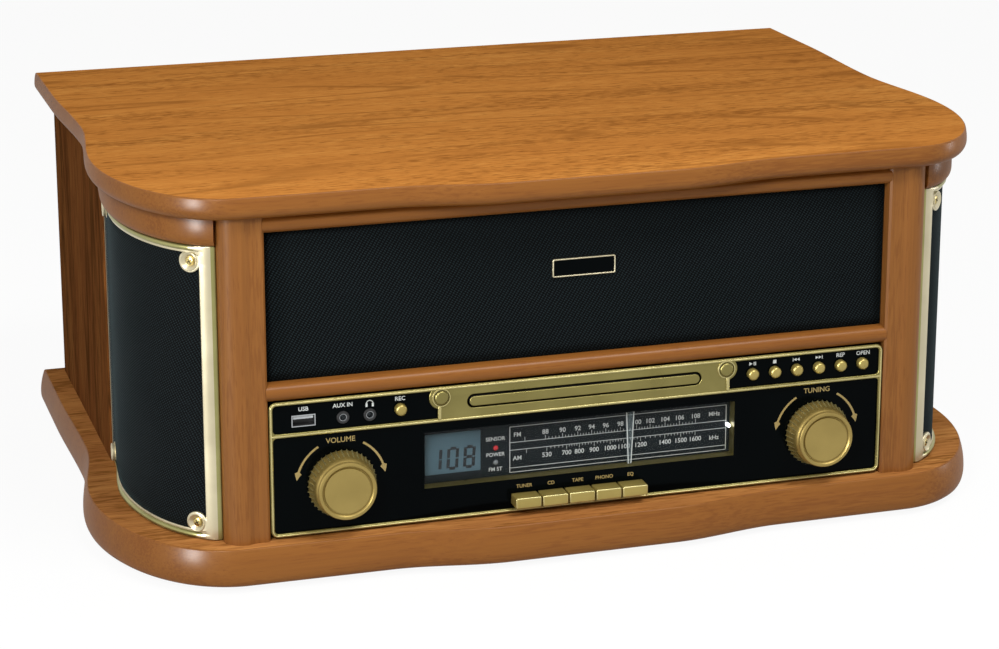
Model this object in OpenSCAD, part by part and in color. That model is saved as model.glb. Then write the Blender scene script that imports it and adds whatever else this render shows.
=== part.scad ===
// Stereo music centre: a wooden cabinet with a hinged lid, corner loudspeakers, a dial radio,
// a disc drawer, a side tape slot and a record deck under the lid.
// Millimetres. +Z is up and the front faces -Y. The plan centre of the whole object is x = y = 0
// and the feet stand on z = 0. The drawings below use cabinet places: y = 0 on the fascia.

/* [Front] */
// Width of the black control panel
fascia_w = 360; // [350:1:370]
// Height of the black control panel
fascia_h = 77.5; // [74:0.5:82]
// Height of the wooden rail between the control panel and the cloth
mid_rail_h = 10; // [8:0.5:14]
// Height of the front cloth
grille_h = 84; // [76:1:92]
// Height of the wooden rail above the cloth
top_rail_h = 9.5; // [8:0.5:14]
// Width of each corner post
post_w = 24; // [22:0.5:26]
// How far the posts stand in front of the control panel
post_proud = 4; // [3:0.5:6]
// Depth of the posts and rails
frame_depth = 20; // [16:1:24]
// Thickness of the control panel
fascia_t = 2.5; // [2:0.25:4]

/* [Plinth and lid] */
// Height of the rubber feet
foot_h = 4; // [2:0.5:8]
// Radius of the rubber feet
foot_r = 11; // [8:0.5:16]
// Thickness of the plinth
plinth_t = 21; // [18:0.5:28]
// How far the plinth's edge swells beyond its top edge
plinth_swell = 3.1; // [2:0.1:8]
// Thickness of the lid
lid_t = 12.7; // [10:0.1:18]
// How far the lid's edge swells beyond its top edge
lid_swell = 4.4; // [2:0.2:6]
// Air between the closed lid and the cabinet
lid_air = 0.3; // [0.2:0.1:1]
// Angle at which the lid stays open
lid_open = 65; // [45:1:70]

/* [Cabinet] */
// Outside width over the side panels
body_w = 482.6; // [478:0.2:490]
// Thickness of the side panels
side_t = 12; // [10:0.5:15]
// Distance from the control panel to the back of the side panels
body_rear = 330; // [328:1:350]
// Distance from the control panel to the front end of the side panels
side_front = 153; // [148:1:158]
// Thickness of the rear panel
rear_t = 3; // [2:0.5:5]
// Height of the rear rail that carries the hinges
rear_rail_h = 15; // [12:0.5:18]
// Thickness of the rear rail
rear_rail_t = 12; // [10:0.5:16]

/* [Loudspeakers] */
// Thickness of the curved cloth panel
cloth_t = 1.8; // [1.2:0.1:3]
// Height of the top and bottom bars of the metal-coloured frame
frame_bar = 4.6; // [3:0.1:7]
// Thickness of that frame
frame_t = 2.4; // [1.6:0.1:3.5]
// Radius of the loudspeaker's chassis
driver_r = 38.5; // [32:0.5:40]
// Angle of the loudspeaker from square to the side
driver_turn = 14; // [8:1:16]
// Depth of the loudspeaker behind its plate
driver_d = 17; // [13:0.5:17.5]

/* [Controls] */
// Radius of the rotary knobs at the panel
knob_r = 19.6; // [16:0.1:22]
// Radius of the rotary knobs at the face
knob_face_r = 15.6; // [12:0.1:16]
// How far the rotary knobs stand out
knob_h = 15.5; // [12:0.5:20]
// Radius of the knob shafts
shaft_r = 3; // [2.5:0.1:3.5]
// Distance from the middle to each rotary knob
knob_x = 140; // [130:1:145]
// Height of the knob shafts above the panel's lower edge
knob_z = 28; // [26:0.5:32]
// Radius of the round buttons
button_r = 3.3; // [3:0.1:4.2]
// Spacing of the round buttons
button_pitch = 13.5; // [12:0.1:14]
// How far the round buttons stand out
button_h = 3.2; // [2:0.1:5]
// Travel of the round buttons
button_travel = 1.2; // [0.6:0.1:2]
// Width of each source key
key_w = 14.8; // [12:0.1:16]
// Height of each source key
key_h = 6.2; // [5:0.1:8]
// How far the source keys stand out
key_out = 9; // [7:0.5:11]
// Travel of the source keys
key_travel = 3; // [2:0.5:4]
// Gap between neighbouring source keys
key_gap = 0.9; // [0.6:0.1:1.5]

/* [Dial] */
// Left edge of the dial window
window_x0 = -93; // [-96:0.5:-90]
// Right edge of the dial window
window_x1 = 89.6; // [86:0.2:94]
// Lower edge of the dial window above the panel's lower edge
window_z = 19; // [17:0.5:21]
// Height of the dial window
window_h = 32.3; // [30:0.1:34]
// Depth of the scale behind the panel's face
window_d = 7; // [6:0.5:9]
// Wall of the dial frame
window_wall = 1.2; // [0.8:0.1:2]
// Thickness of the clear window
glass_t = 1.2; // [0.8:0.1:1.6]
// Place of the pointer at rest, from the middle
pointer_x = 28; // [20:1:36]
// Travel of the pointer to the left
pointer_left = 49; // [40:1:52]
// Travel of the pointer to the right
pointer_right = 41; // [32:1:44]

/* [Disc drawer] */
// Width of the drawer's front bar
tray_front_w = 135; // [134:0.5:136]
// Height of the drawer's front bar
tray_front_h = 5.6; // [5:0.1:6.4]
// Air around the front bar
tray_air = 1.1; // [0.8:0.1:1.4]
// Travel of the drawer
tray_travel = 133; // [120:1:135]
// Length of the drawer behind its front bar
tray_len = 188; // [180:1:195]
// Radius of the disc's recess
disc_r = 60.6; // [60.3:0.1:62]

/* [Record deck] */
// Height of the deck's top above the floor
deck_z = 160; // [156:0.5:162]
// Thickness of the deck
deck_t = 4; // [3:0.5:6]
// Radius of the platter
platter_r = 105; // [100:1:112]
// Place of the platter's axis, from the middle
platter_x = -30; // [-34:1:-26]
// Place of the platter's axis behind the control panel
platter_y = 169; // [167:1:171]
// Radius of the record spindle
spindle_r = 3.575; // [3.5:0.005:3.6]
// Radius of the platter's bearing shaft
bearing_r = 4; // [3:0.1:5]
// Radius of the rim that the belt drives
belt_rim_r = 80; // [74:0.5:82]
// Radius of the motor pulley
pulley_r = 6; // [5:0.1:7]
// Distance between the platter's and the motor's axes
motor_reach = 91; // [90:0.5:92]
// Distance from the arm's pivot to the stylus
arm_len = 210; // [205:1:212]
// Radius of the tonearm tube
arm_r = 4; // [3:0.1:5]
// Place of the arm's pivot, from the middle
arm_x = 148; // [146:1:152]
// Place of the arm's pivot behind the control panel
arm_y = 252; // [248:1:256]
// Height of the arm's pivot above the deck
arm_z = 28; // [27:0.5:30]

/* [Tape slot] */
// Width of the tape slot
slot_w = 106; // [104:1:110]
// Height of the tape slot
slot_h = 18; // [17:0.5:20]
// Distance from the control panel to the middle of the slot
slot_y = 235; // [228:1:240]
// Height of the slot's lower edge above the floor
slot_z = 66; // [60:1:74]
// Thickness of the slot's flap
flap_t = 2; // [1.5:0.1:2.5]

/* [Lid stay] */
// Length of the stay arm between its pins
stay_len = 75; // [70:1:78]
// Angle of the stay arm when the lid is shut
stay_angle = 12; // [11:0.5:14]
// Radius of the stay's pins
stay_pin_r = 2; // [1.5:0.1:2.5]

/* [Fits] */
// Gap between pieces that pass each other
air = 0.3; // [0.2:0.05:0.5]
// Radial play of a pin in its bore
play = 0.06; // [0.03:0.01:0.1]

/* [Hidden] */
$fn = 48;
eps = 0.01;

// Colours by piece
wood = [0.66, 0.42, 0.20];
gold = [0.66, 0.60, 0.33];
pale_gold = [0.78, 0.71, 0.47];
black = [0.05, 0.05, 0.06];
cloth = [0.06, 0.08, 0.09];
steel = [0.68, 0.69, 0.70];
dark = [0.14, 0.14, 0.15];

// Heights, from the floor up
plinth_z = foot_h + plinth_t;
fascia_z = plinth_z + 1;
fascia_top = fascia_z + fascia_h;
grille_z = fascia_top + mid_rail_h;
grille_top = grille_z + grille_h;
rim_z = grille_top + top_rail_h;
lid_z = rim_z + lid_air;

// Plan of the curved corners: every outline has quarter ellipses about this centre
corner_x = 193.3;
corner_y = 95;
// Depth where the sides are narrowest, and where they reach their rear width
waist_y = 181;
waist_back = 276;
// Half widths at the rear, the waist and the corner, depth of the corner, bow of the front, rear edge
lid_plan = [247, 244, 252, 101, 9.5, 340];
plinth_plan = [253.4, 251.6, 262.4, 104.2, 9.2, 336];
// The front's bow rises between these places, and falls back a little beyond them
bow_in = 48;
bow_out = 115;
front_fall = 0.6;
// How far the edges tuck in below their swell, and where the swell is fullest
plinth_under = 2.4;
plinth_belly = 0.29;
lid_under = 5.4;
lid_belly = 0.45;
plan_front = corner_y - plinth_plan[3] - plinth_plan[4] - plinth_swell;
plan_rear = lid_plan[5];
mid_y = (plan_front + plan_rear) / 2;

half_w = fascia_w / 2;
post_x = half_w + air;
post_out = post_x + post_w;
inner_x = body_w / 2 - side_t;
frame_back = frame_depth - post_proud;
band_h = top_rail_h + 6.5;
band_z = rim_z - band_h;

// Curved corner pod: semi-axes of the cloth's face and its end at the side panel
pod_a = 50.7;
pod_b = 89.4;
pod_end = 239.5;
pod_in = 190;
pod_steps = 16;
pod_z = plinth_z + 0.5;
lobe_r = 6;

// Dial, drawer and deck places that follow
scale_y = window_d;
pointer_y = glass_t + 2;
pointer_t = 1.4;
window_z0 = fascia_z + window_z;
window_z1 = window_z0 + window_h;
rod_z = window_z1 + window_wall + 2.9;
tray_z = fascia_z + 67.5;
button_z = fascia_z + 66.6;
knob_height = fascia_z + knob_z;
disc_y = disc_r + 10;
trim_t = 1.5;
bar_w = 2.1;
divider_z = fascia_z + 58;
key_z = fascia_z + 4.2;
keys_x = -4;
platter_z = deck_z + 3;
platter_h = 9;
mat_z = platter_z + platter_h;
mat_t = 2;
arm_height = deck_z + arm_z;
motor_turn = 140;
motor_x = platter_x + motor_reach * cos(motor_turn);
motor_y = platter_y + motor_reach * sin(motor_turn);
cleat = 10;

// Lid hinge and stay
hinge_y = body_rear + 3.6;
hinge_z = lid_z - 3.3;
hinge_r = 3;
hinge_pin_r = 1.2;
hinge_x = 150;
hinge_w = 34;
stay_y = hinge_y - stay_len * cos(stay_angle);
stay_z = hinge_z - stay_len * sin(stay_angle);

// Smooth step from 0 to 1
function blend(u) = (1 - cos(180 * max(0, min(1, u)))) / 2;

// Half width of a plan outline at depth y, behind the corner
function plan_half(p, y) = y > waist_y
  ? p[1] + (p[0] - p[1]) * blend((y - waist_y) / (waist_back - waist_y))
  : p[1] + (p[2] - p[1]) * blend((waist_y - y) / (waist_y - corner_y));

// Right half of a plan outline, from the rear corner round to the middle of the front
function plan_side(p, n_side = 12, n_corner = 12, n_bow = 6) = concat(
  [for (i = [0:n_side - 1]) let (y = p[5] + (corner_y - p[5]) * i / n_side) [plan_half(p, y), y]],
  [for (i = [0:n_corner]) let (a = 90 * i / n_corner)
    [corner_x + (p[2] - corner_x) * cos(a), corner_y - p[3] * sin(a)]],
  [for (i = [0:n_bow]) [bow_out + (bow_in - bow_out) * i / n_bow,
    corner_y - p[3] - front_fall - (p[4] - front_fall) * blend(i / n_bow)]]);
function flip(pts) = [for (i = [len(pts) - 1:-1:0]) [-pts[i][0], pts[i][1]]];
function back_to_front(pts) = [for (i = [len(pts) - 1:-1:0]) pts[i]];
function plan_outline(p) = let (s = plan_side(p)) back_to_front(concat(s, flip(s)));

// Unit normal of an outline at point i; the rear edge stays flat
function out_normal(q, i) = let (n = len(q), d = q[(i + 1) % n] - q[(i + n - 1) % n])
  (i == 0 || i == n - 1) ? [sign(q[i][0]), 0] : [d[1], -d[0]] / norm(d);

// Edge profile of a plank: swell against height, u from 0 at the bottom to 1 at the top
function edge_at(u, swell, under, belly) = u > belly
  ? swell * (1 - pow((u - belly) / (1 - belly), 2))
  : swell - under * (1 - sqrt(max(0, 1 - pow((belly - u) / belly, 2))));

// Plank with a swelling edge: rings of the same outline, pushed out along its normals
module plank(p, t, swell, under, belly, levels = 7) {
  q = plan_outline(p);
  n = len(q);
  pts = [for (k = [0:levels]) let (e = edge_at(k / levels, swell, under, belly))
    for (i = [0:n - 1]) let (m = q[i] + e * out_normal(q, i)) [m[0], m[1], t * k / levels]];
  walls = [for (k = [0:levels - 1]) for (i = [0:n - 1]) let (a = k * n + i, b = k * n + (i + 1) % n)
    each [[a, a + n, b + n], [a, b + n, b]]];
  // Floor and roof run in strips between each point and its mirror twin
  top = levels * n;
  ends = [for (i = [0:n / 2 - 2]) let (a = i, b = i + 1, c = n - 2 - i, d = n - 1 - i)
    each [[a, b, c], [a, c, d], [top + c, top + b, top + a], [top + d, top + c, top + a]]];
  polyhedron(pts, concat(ends, walls));
}

// Face curve of the corner pod, pushed out by off; s runs from the post (0) to the side panel (1)
function pod_pt(off, s) = let (a = pod_a + off, b = pod_b + off,
    t0 = acos((post_out + air - corner_x) / a), k = 0.62)
  s < k ? let (t = t0 * (1 - s / k)) [corner_x + a * cos(t), corner_y - b * sin(t)]
  : let (u = (s - k) / (1 - k), y = corner_y + (side_front - air - corner_y) * u)
    [corner_x + a + (pod_end - corner_x - pod_a) * blend(u), y];
function pod_curve(off, s0, s1) =
  [for (i = [0:pod_steps]) pod_pt(off, s0 + (s1 - s0) * i / pod_steps)];
module pod_strip(off0, off1, s0 = 0, s1 = 1)
  polygon(concat(pod_curve(off0, s0, s1), back_to_front(pod_curve(off1, s0, s1))));

// Runs the children on the right and mirrored on the left
module both_sides() {
  children();
  mirror([1, 0, 0]) children();
}

// Moves cabinet places to the object's own frame
module cabinet() translate([0, -mid_y, 0]) children();

// Box from one corner to the opposite corner
module block(a, b) translate(a) cube(b - a);

// Rod along Y from y0 to y1
module rod_y(x, z, r, y0, y1, fn = 48)
  translate([x, y1, z]) rotate([90, 0, 0]) cylinder(h = y1 - y0, r = r, $fn = fn);

// Rod along X from x0 to x1
module rod_x(y, z, r, x0, x1, fn = 32)
  translate([x0, y, z]) rotate([0, 90, 0]) cylinder(h = x1 - x0, r = r, $fn = fn);

// Rectangle about the origin with round corners
module rounded(w, h, r) {
  square([w - 2 * r, h], center = true);
  square([w, h - 2 * r], center = true);
  for (x = [-1, 1], y = [-1, 1]) translate([x * (w / 2 - r), y * (h / 2 - r)]) circle(r);
}

// Upright plate from a front outline, between depths y0 and y1
module upright(y0, y1)
  translate([0, y1, 0]) rotate([90, 0, 0]) linear_extrude(y1 - y0) children();

module plinth() color(wood) cabinet() translate([0, 0, foot_h])
  plank(plinth_plan, plinth_t, plinth_swell, plinth_under, plinth_belly);

foot_x = plinth_plan[1] - 46.6;
foot_y = [corner_y - 70, plinth_plan[5] - 41];
module feet() color(dark) cabinet() for (x = [-1, 1], y = foot_y)
  translate([x * foot_x, y, 0]) {
    cylinder(h = foot_h / 2, r1 = foot_r - 1, r2 = foot_r);
    translate([0, 0, foot_h / 2]) cylinder(h = foot_h / 2, r = foot_r);
  }

// Tape bezel liner and the tape key beside the slot
liner = 2;
tape_key_r = 5;
tape_key_out = 3;
key_tape_y = slot_y + slot_w / 2 + 18;
key_tape_z = slot_z + slot_h / 2;
collar_t = 2;

// Side panel on the right, with the cleat that carries the deck
module side_board() {
  block([inner_x, side_front, plinth_z], [body_w / 2, body_rear, rim_z]);
  block([inner_x - cleat, side_front + cleat, deck_z - deck_t - cleat],
    [inner_x, body_rear - rear_rail_t - 2, deck_z - deck_t]);
}

module side_panel_left() color(wood) cabinet() mirror([1, 0, 0]) side_board();

module side_panel_right() color(wood) cabinet() difference() {
  side_board();
  block([inner_x - 1, slot_y - slot_w / 2 - liner - air, slot_z - liner - air],
    [body_w / 2 + 1, slot_y + slot_w / 2 + liner + air, slot_z + slot_h + liner + air]);
  rod_x(key_tape_y, key_tape_z, tape_key_r + collar_t, inner_x - 1, body_w / 2 + 1);
}

// Rear panel with rows of cooling slots; its top sits under the rear rail
rear_y = body_rear - 3 - rear_t;
vent_pitch = 8;
vent_w = 3.4;
vent_h = 30;
vent_rise = 40;
vent_x = -inner_x + 39.3;
vent_z = plinth_z + 35;
module rear_panel() color(dark) cabinet() difference() {
  block([-inner_x + air, rear_y, plinth_z],
    [inner_x - air, rear_y + rear_t, rim_z - rear_rail_h - air]);
  for (i = [0:9], row = [0:1]) translate([vent_x + i * vent_pitch, rear_y - 1, vent_z + row * vent_rise])
    cube([vent_w, rear_t + 2, vent_h]);
  for (i = [0:1]) rod_y(rca_x + i * rca_pitch, rca_z, rca_r + air, rear_y - 1, rear_y + rear_t + 1);
  block([inlet_x - inlet_w / 2 - air, rear_y - 1, inlet_z - inlet_h / 2 - air],
    [inlet_x + inlet_w / 2 + air, rear_y + rear_t + 1, inlet_z + inlet_h / 2 + air]);
}

// Rear sockets: a pair of phono sockets and a two-pole mains inlet
rca_x = 120;
rca_z = plinth_z + 45;
rca_pitch = 16;
rca_r = 4.2;
rca_bore_r = 1.7;
rca_box = 10;
rca_out = 6;
inlet_x = -120;
inlet_z = plinth_z + 35;
inlet_w = 24;
inlet_h = 16;
inlet_deep = 10;
inlet_flange = 6;
pin_bay_r = 4.3;
mains_pin_r = 1.2;
module rear_sockets() color(dark) cabinet() {
  difference() {
    union() {
      block([rca_x - rca_box - 2, rear_y - rca_box, rca_z - rca_box],
        [rca_x + rca_pitch + rca_box + 2, rear_y, rca_z + rca_box]);
      for (i = [0:1])
        rod_y(rca_x + i * rca_pitch, rca_z, rca_r, rear_y - eps, rear_y + rear_t + rca_out);
    }
    for (i = [0:1])
      rod_y(rca_x + i * rca_pitch, rca_z, rca_bore_r, rear_y - 6, rear_y + rear_t + rca_out + 1);
  }
  difference() {
    union() {
      block([inlet_x - inlet_w / 2, rear_y - inlet_deep - 6, inlet_z - inlet_h / 2],
        [inlet_x + inlet_w / 2, rear_y + rear_t, inlet_z + inlet_h / 2]);
      block([inlet_x - inlet_w / 2 - inlet_flange, rear_y + rear_t, inlet_z - inlet_h / 2 - 2],
        [inlet_x + inlet_w / 2 + inlet_flange, rear_y + rear_t + 2, inlet_z + inlet_h / 2 + 2]);
    }
    upright(rear_y - inlet_deep, rear_y + rear_t + 3) translate([inlet_x, inlet_z]) {
      square(2 * pin_bay_r, center = true);
      for (x = [-1, 1]) translate([x * pin_bay_r, 0]) circle(pin_bay_r);
    }
  }
  for (x = [-1, 1])
    rod_y(inlet_x + x * pin_bay_r, inlet_z, mains_pin_r, rear_y - inlet_deep - eps, rear_y + rear_t - 1, 24);
}

// Corner posts, round on the outer edge, and the rails above and below the cloth
post_r = 9;
post_ease = 1.5;
rail_set = 1;
module post_plan() {
  translate([post_x, post_r - post_proud]) square([post_w, frame_depth - post_r]);
  translate([post_x + post_ease, -post_proud]) square([post_w - post_r - post_ease, post_r + 1]);
  translate([post_x, post_ease - post_proud]) square([2 * post_ease, post_r]);
  translate([post_x + post_ease, post_ease - post_proud]) circle(post_ease);
  translate([post_out - post_r, post_r - post_proud]) circle(post_r);
}

module front_frame() color(wood) cabinet() {
  both_sides() translate([0, 0, plinth_z]) linear_extrude(rim_z - plinth_z) post_plan();
  for (z = [[fascia_top + air, grille_z], [grille_top, rim_z]]) {
    r = (z[1] - z[0]) / 2;
    block([-post_x - 1, rail_set + r - post_proud, z[0]], [post_x + 1, frame_back - 2, z[1]]);
    rod_x(rail_set + r - post_proud, z[0] + r, r, -post_x - 1, post_x + 1, 48);
  }
}

// Curved bands above the loudspeakers, and the rail that carries the hinges
band_in = 6;
band_out = 5.2;
module top_rails() color(wood) cabinet() {
  both_sides() translate([0, 0, band_z]) linear_extrude(band_h) pod_strip(-band_in, band_out);
  block([-inner_x + air, body_rear - rear_rail_t, rim_z - rear_rail_h],
    [inner_x - air, body_rear, rim_z]);
}

// Loudspeaker box: inner, front and rear walls, floor and roof, and the tilted plate
pod_top = band_z;
pod_h = pod_top - air - pod_z;
wall = 2.5;
pod_rear = side_front - 1.5;
pod_front = frame_back + air;
driver_c = [217, 80, (pod_z + pod_top) / 2];
baffle = [160, 120];
lip = 3;
module driver_place()
  translate(driver_c) rotate([0, 0, -driver_turn]) rotate([0, 90, 0]) children();
module pod_inside() polygon(concat([[pod_in, pod_rear], [pod_in, pod_front]],
  [[post_out + air, pod_front]], pod_curve(-cloth_t - 0.2, 0.05, 0.97)));

// Hollow of the loudspeaker box, open towards the cloth
module pod_hollow() polygon([[pod_in + wall, pod_rear - wall], [pod_in + wall, pod_front + wall],
  [post_out + 40, pod_front + wall - 30], [body_w / 2 + 60, pod_front + 40],
  [body_w / 2 + 60, pod_rear - wall]]);
module speaker_housings() color(dark) cabinet() both_sides() difference() {
  union() {
    difference() {
      translate([0, 0, pod_z]) linear_extrude(pod_h) pod_inside();
      translate([0, 0, pod_z + wall]) linear_extrude(pod_h - 2 * wall) pod_hollow();
    }
    intersection() {
      translate([0, 0, pod_z]) linear_extrude(pod_h) pod_inside();
      driver_place() translate([-baffle[0] / 2, -baffle[1] / 2, -wall]) cube([baffle[0], baffle[1], wall]);
    }
  }
  driver_place() translate([0, 0, -wall - 1]) cylinder(h = wall + 2, r = driver_r - lip);
}

// Loudspeaker: chassis ring, basket, magnet and cone
magnet_r = 18;
basket_r = 24;
cone_d = 9;
dust_r = 14;
module speaker_drivers() color([0.2, 0.2, 0.22]) cabinet() both_sides() driver_place()
  rotate_extrude($fn = 64) polygon([[0, -driver_d - wall], [magnet_r, -driver_d - wall],
    [magnet_r, -cone_d - wall], [basket_r, -cone_d - wall], [driver_r - lip - air, -wall - 1],
    [driver_r - lip - air, 0], [driver_r, 0], [driver_r, 2], [driver_r - lip - 2, 2],
    [driver_r - lip - 4, 0], [dust_r, -cone_d], [dust_r - 2, 1 - cone_d], [dust_r / 2 - 1, -4], [0, -3]]);

module speaker_cloths() color(cloth) cabinet() both_sides()
  translate([0, 0, pod_z + frame_bar + 0.1]) linear_extrude(pod_h - 2 * frame_bar - 0.2)
    pod_strip(-cloth_t, 0);

// Frame round each loudspeaker: top and bottom bars, end bars and four screw lobes
lobe_s = [0.125, 0.9];
lobe_in = 9;
lobe_heights = [pod_z + lobe_in, pod_top - air - lobe_in];
screw_r = 3;
screw_h = 1.2;
end_bars = [[0, 0.075], [0.94, 1]];
function pod_turn(s) = let (d = pod_pt(0, s + 0.01) - pod_pt(0, s - 0.01)) atan2(-d[0], d[1]);
module on_pod(s, z) {
  p = pod_pt(0.15, s);
  translate([p[0], p[1], z]) rotate([0, 0, pod_turn(s)]) rotate([0, 90, 0]) children();
}
module speaker_frames() color(pale_gold) cabinet() both_sides() {
  for (z = [pod_z, pod_top - air - frame_bar]) translate([0, 0, z]) linear_extrude(frame_bar)
    pod_strip(-cloth_t, frame_t);
  for (s = end_bars) translate([0, 0, pod_z]) linear_extrude(pod_h)
    pod_strip(0.15, frame_t, s[0], s[1]);
  for (s = lobe_s, z = lobe_heights) difference() {
    on_pod(s, z) cylinder(h = frame_t, r = lobe_r);
    on_pod(s, z) translate([0, 0, 1]) cylinder(h = frame_t, r = screw_r + 0.6);
  }
}

// Screws: four in each loudspeaker frame and eight round the rear panel
module screw() cylinder(h = screw_h, r = screw_r, $fn = 24);
module screws() color(steel) cabinet() {
  both_sides() for (s = lobe_s, z = lobe_heights) on_pod(s, z) translate([0, 0, 1]) screw();
  for (x = [-1, -0.34, 0.34, 1], z = [plinth_z + 8, rim_z - rear_rail_h - 8])
    translate([x * (inner_x - 10), rear_y + rear_t, z]) rotate([-90, 0, 0]) screw();
}

// Front cloth on its board, and the bare plate on it
grille_y = 5;
grille_t = 4;
badge = [36.6, 10.4, 1.6];
badge_rise = 8;
module grille_panel() color(cloth) cabinet()
  block([-half_w, grille_y, grille_z + 0.2], [half_w, grille_y + grille_t, grille_top - 0.2]);

module badge_plate() color(pale_gold) cabinet() upright(grille_y - badge[2], grille_y)
  translate([0, (grille_z + grille_top) / 2 + badge_rise]) rounded(badge[0], badge[1], 1);

// Upper row of the panel: drawer, boss and six buttons share the half width and its spare room
fascia_rim = 8;
corner_r = 4;
slot_front_w = tray_front_w + 2 * tray_air;
slot_front_h = tray_front_h + 2 * tray_air;
boss_r = 6.8;
row_w = 5 * button_pitch + 2 * button_r;
spare = half_w - bar_w - slot_front_w / 2 - 2 * boss_r - row_w;
stud_x = slot_front_w / 2 + boss_r + 0.376 * spare;
row_x = half_w - bar_w - 0.328 * spare - row_w / 2;

// Left of the boss the record button, jacks and USB socket take fixed shares of the room
boss_edge = stud_x + boss_r;
function left_x(share) = -boss_edge - (half_w - bar_w - boss_edge) * share;
function button_x(i) = i == 0 ? left_x(0.1835) : row_x + (i - 3.5) * button_pitch;
function key_x(i) = keys_x + (i - 2) * (key_w + key_gap);
usb_x = left_x(0.8005);
usb_w = 13.2;
usb_h = 6.6;
usb_z = button_z - 1;
jack_x = [left_x(0.5506), left_x(0.379)];
jack_z = fascia_z + 65.2;
jack_r = 3.2;

// Control panel: a black face with a rim behind it and an opening for each control
module panel_outline(inset) translate([0, fascia_z + fascia_h / 2])
  rounded(fascia_w - 2 * air - 2 * inset, fascia_h - air - 2 * inset, corner_r - 0.6 * inset);
module fascia() color(black) cabinet() {
  difference() {
    upright(0, fascia_t) panel_outline(0);
    upright(-1, fascia_t + 1) {
      translate([0, tray_z]) rounded(slot_front_w, slot_front_h, slot_front_h / 2 - eps);
      translate([window_x0 - window_wall - 0.1, window_z0 - window_wall - 0.1])
        square([window_x1 - window_x0 + 2 * window_wall + 0.2, window_h + 2 * window_wall + 0.2]);
      translate([usb_x, usb_z]) square([usb_w + 0.2, usb_h + 0.2], center = true);
      for (i = [0:4]) translate([key_x(i), key_z + key_h / 2])
        square([key_w + key_gap - 0.2, key_h + key_gap - 0.2], center = true);
    }
    for (x = jack_x) rod_y(x, jack_z, jack_r + 0.1, -1, fascia_t + 1);
    for (i = [0:6]) rod_y(button_x(i), button_z, button_r + air, -1, fascia_t + 1);
    for (x = [-1, 1]) rod_y(x * knob_x, knob_height, shaft_r + 0.5, -1, fascia_t + 1);
  }
  difference() {
    upright(fascia_t - eps, fascia_t + fascia_rim) panel_outline(0);
    upright(fascia_t - 1, fascia_t + fascia_rim + 1) panel_outline(2);
  }
}

// Gold trim: border, divider, drawer plate with a round boss, a stud and a stem at each end
stud_z = fascia_z + 71.3;
stud_r = 4;
stem_w = 1.8;
module fascia_trim() color(gold) cabinet() {
  difference() {
    upright(-trim_t, 0) union() {
      difference() {
        panel_outline(0);
        panel_outline(bar_w);
      }
      translate([1 - half_w, divider_z - bar_w / 2]) square([fascia_w - 2, bar_w + 0.4]);
      translate([-stud_x - 1.4, divider_z]) square([2 * stud_x + 2.8, fascia_top - 1 - divider_z]);
      for (x = [-1, 1]) translate([x * stud_x, stud_z]) circle(boss_r);
    }
    upright(-trim_t - 1, 1) translate([0, tray_z])
      rounded(slot_front_w, slot_front_h, slot_front_h / 2 - eps);
    upright(-trim_t - 1, 1) for (x = [-1, 1])
      translate([x * (stud_x + boss_r), stud_z - boss_r]) circle(3);
  }
  for (x = [-1, 1]) {
    rod_y(x * stud_x, stud_z, stud_r, -trim_t - 1.6, -trim_t + eps);
    rod_y(x * stud_x, stud_z, stud_r + 1.1, -trim_t - 0.5, -trim_t + eps);
    block([x * (stud_x + 1) - stem_w / 2, -trim_t - 0.7, divider_z],
      [x * (stud_x + 1) + stem_w / 2, -trim_t + eps, stud_z - stud_r - 1]);
  }
}

// USB socket and the two jack sockets, each with its body behind the panel
jack_hole_r = 1.8;
jack_body = 5.5;
usb_wall = 0.5;
module front_sockets() color(steel) cabinet() {
  difference() {
    block([usb_x - usb_w / 2, -0.4, usb_z - usb_h / 2], [usb_x + usb_w / 2, 14, usb_z + usb_h / 2]);
    block([usb_x - usb_w / 2 + usb_wall, -1, usb_z - usb_h / 2 + usb_wall],
      [usb_x + usb_w / 2 - usb_wall, 12, usb_z + usb_h / 2 - usb_wall]);
  }
  block([usb_x - 5.5, 1, usb_z + 0.8], [usb_x + 5.5, 12.5, usb_z + 2.7]);
  for (x = jack_x) difference() {
    union() {
      rod_y(x, jack_z, jack_r, -0.5, fascia_t + eps);
      block([x - jack_body, fascia_t, jack_z - jack_body], [x + jack_body, 15, jack_z + jack_body]);
    }
    rod_y(x, jack_z, jack_hole_r, -1, 14);
  }
}

// Gold well round the dial, with a slot in its roof for the pointer
module dial_frame() color(gold) cabinet() difference() {
  upright(0, window_d) difference() {
    translate([window_x0 - window_wall, window_z0 - window_wall])
      square([window_x1 - window_x0 + 2 * window_wall, window_h + 2 * window_wall]);
    translate([window_x0, window_z0]) square([window_x1 - window_x0, window_h]);
  }
  block([pointer_x - pointer_left - 4, pointer_y - air, window_z1 - 1],
    [pointer_x + pointer_right + 4, pointer_y + pointer_t + air, window_z1 + window_wall + 1]);
}

module dial_window() color([0.7, 0.8, 0.85, 0.3]) cabinet()
  block([window_x0 + 0.1, 1, window_z0 + 0.1], [window_x1 - 0.1, 1 + glass_t, window_z1 - 0.1]);

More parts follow.
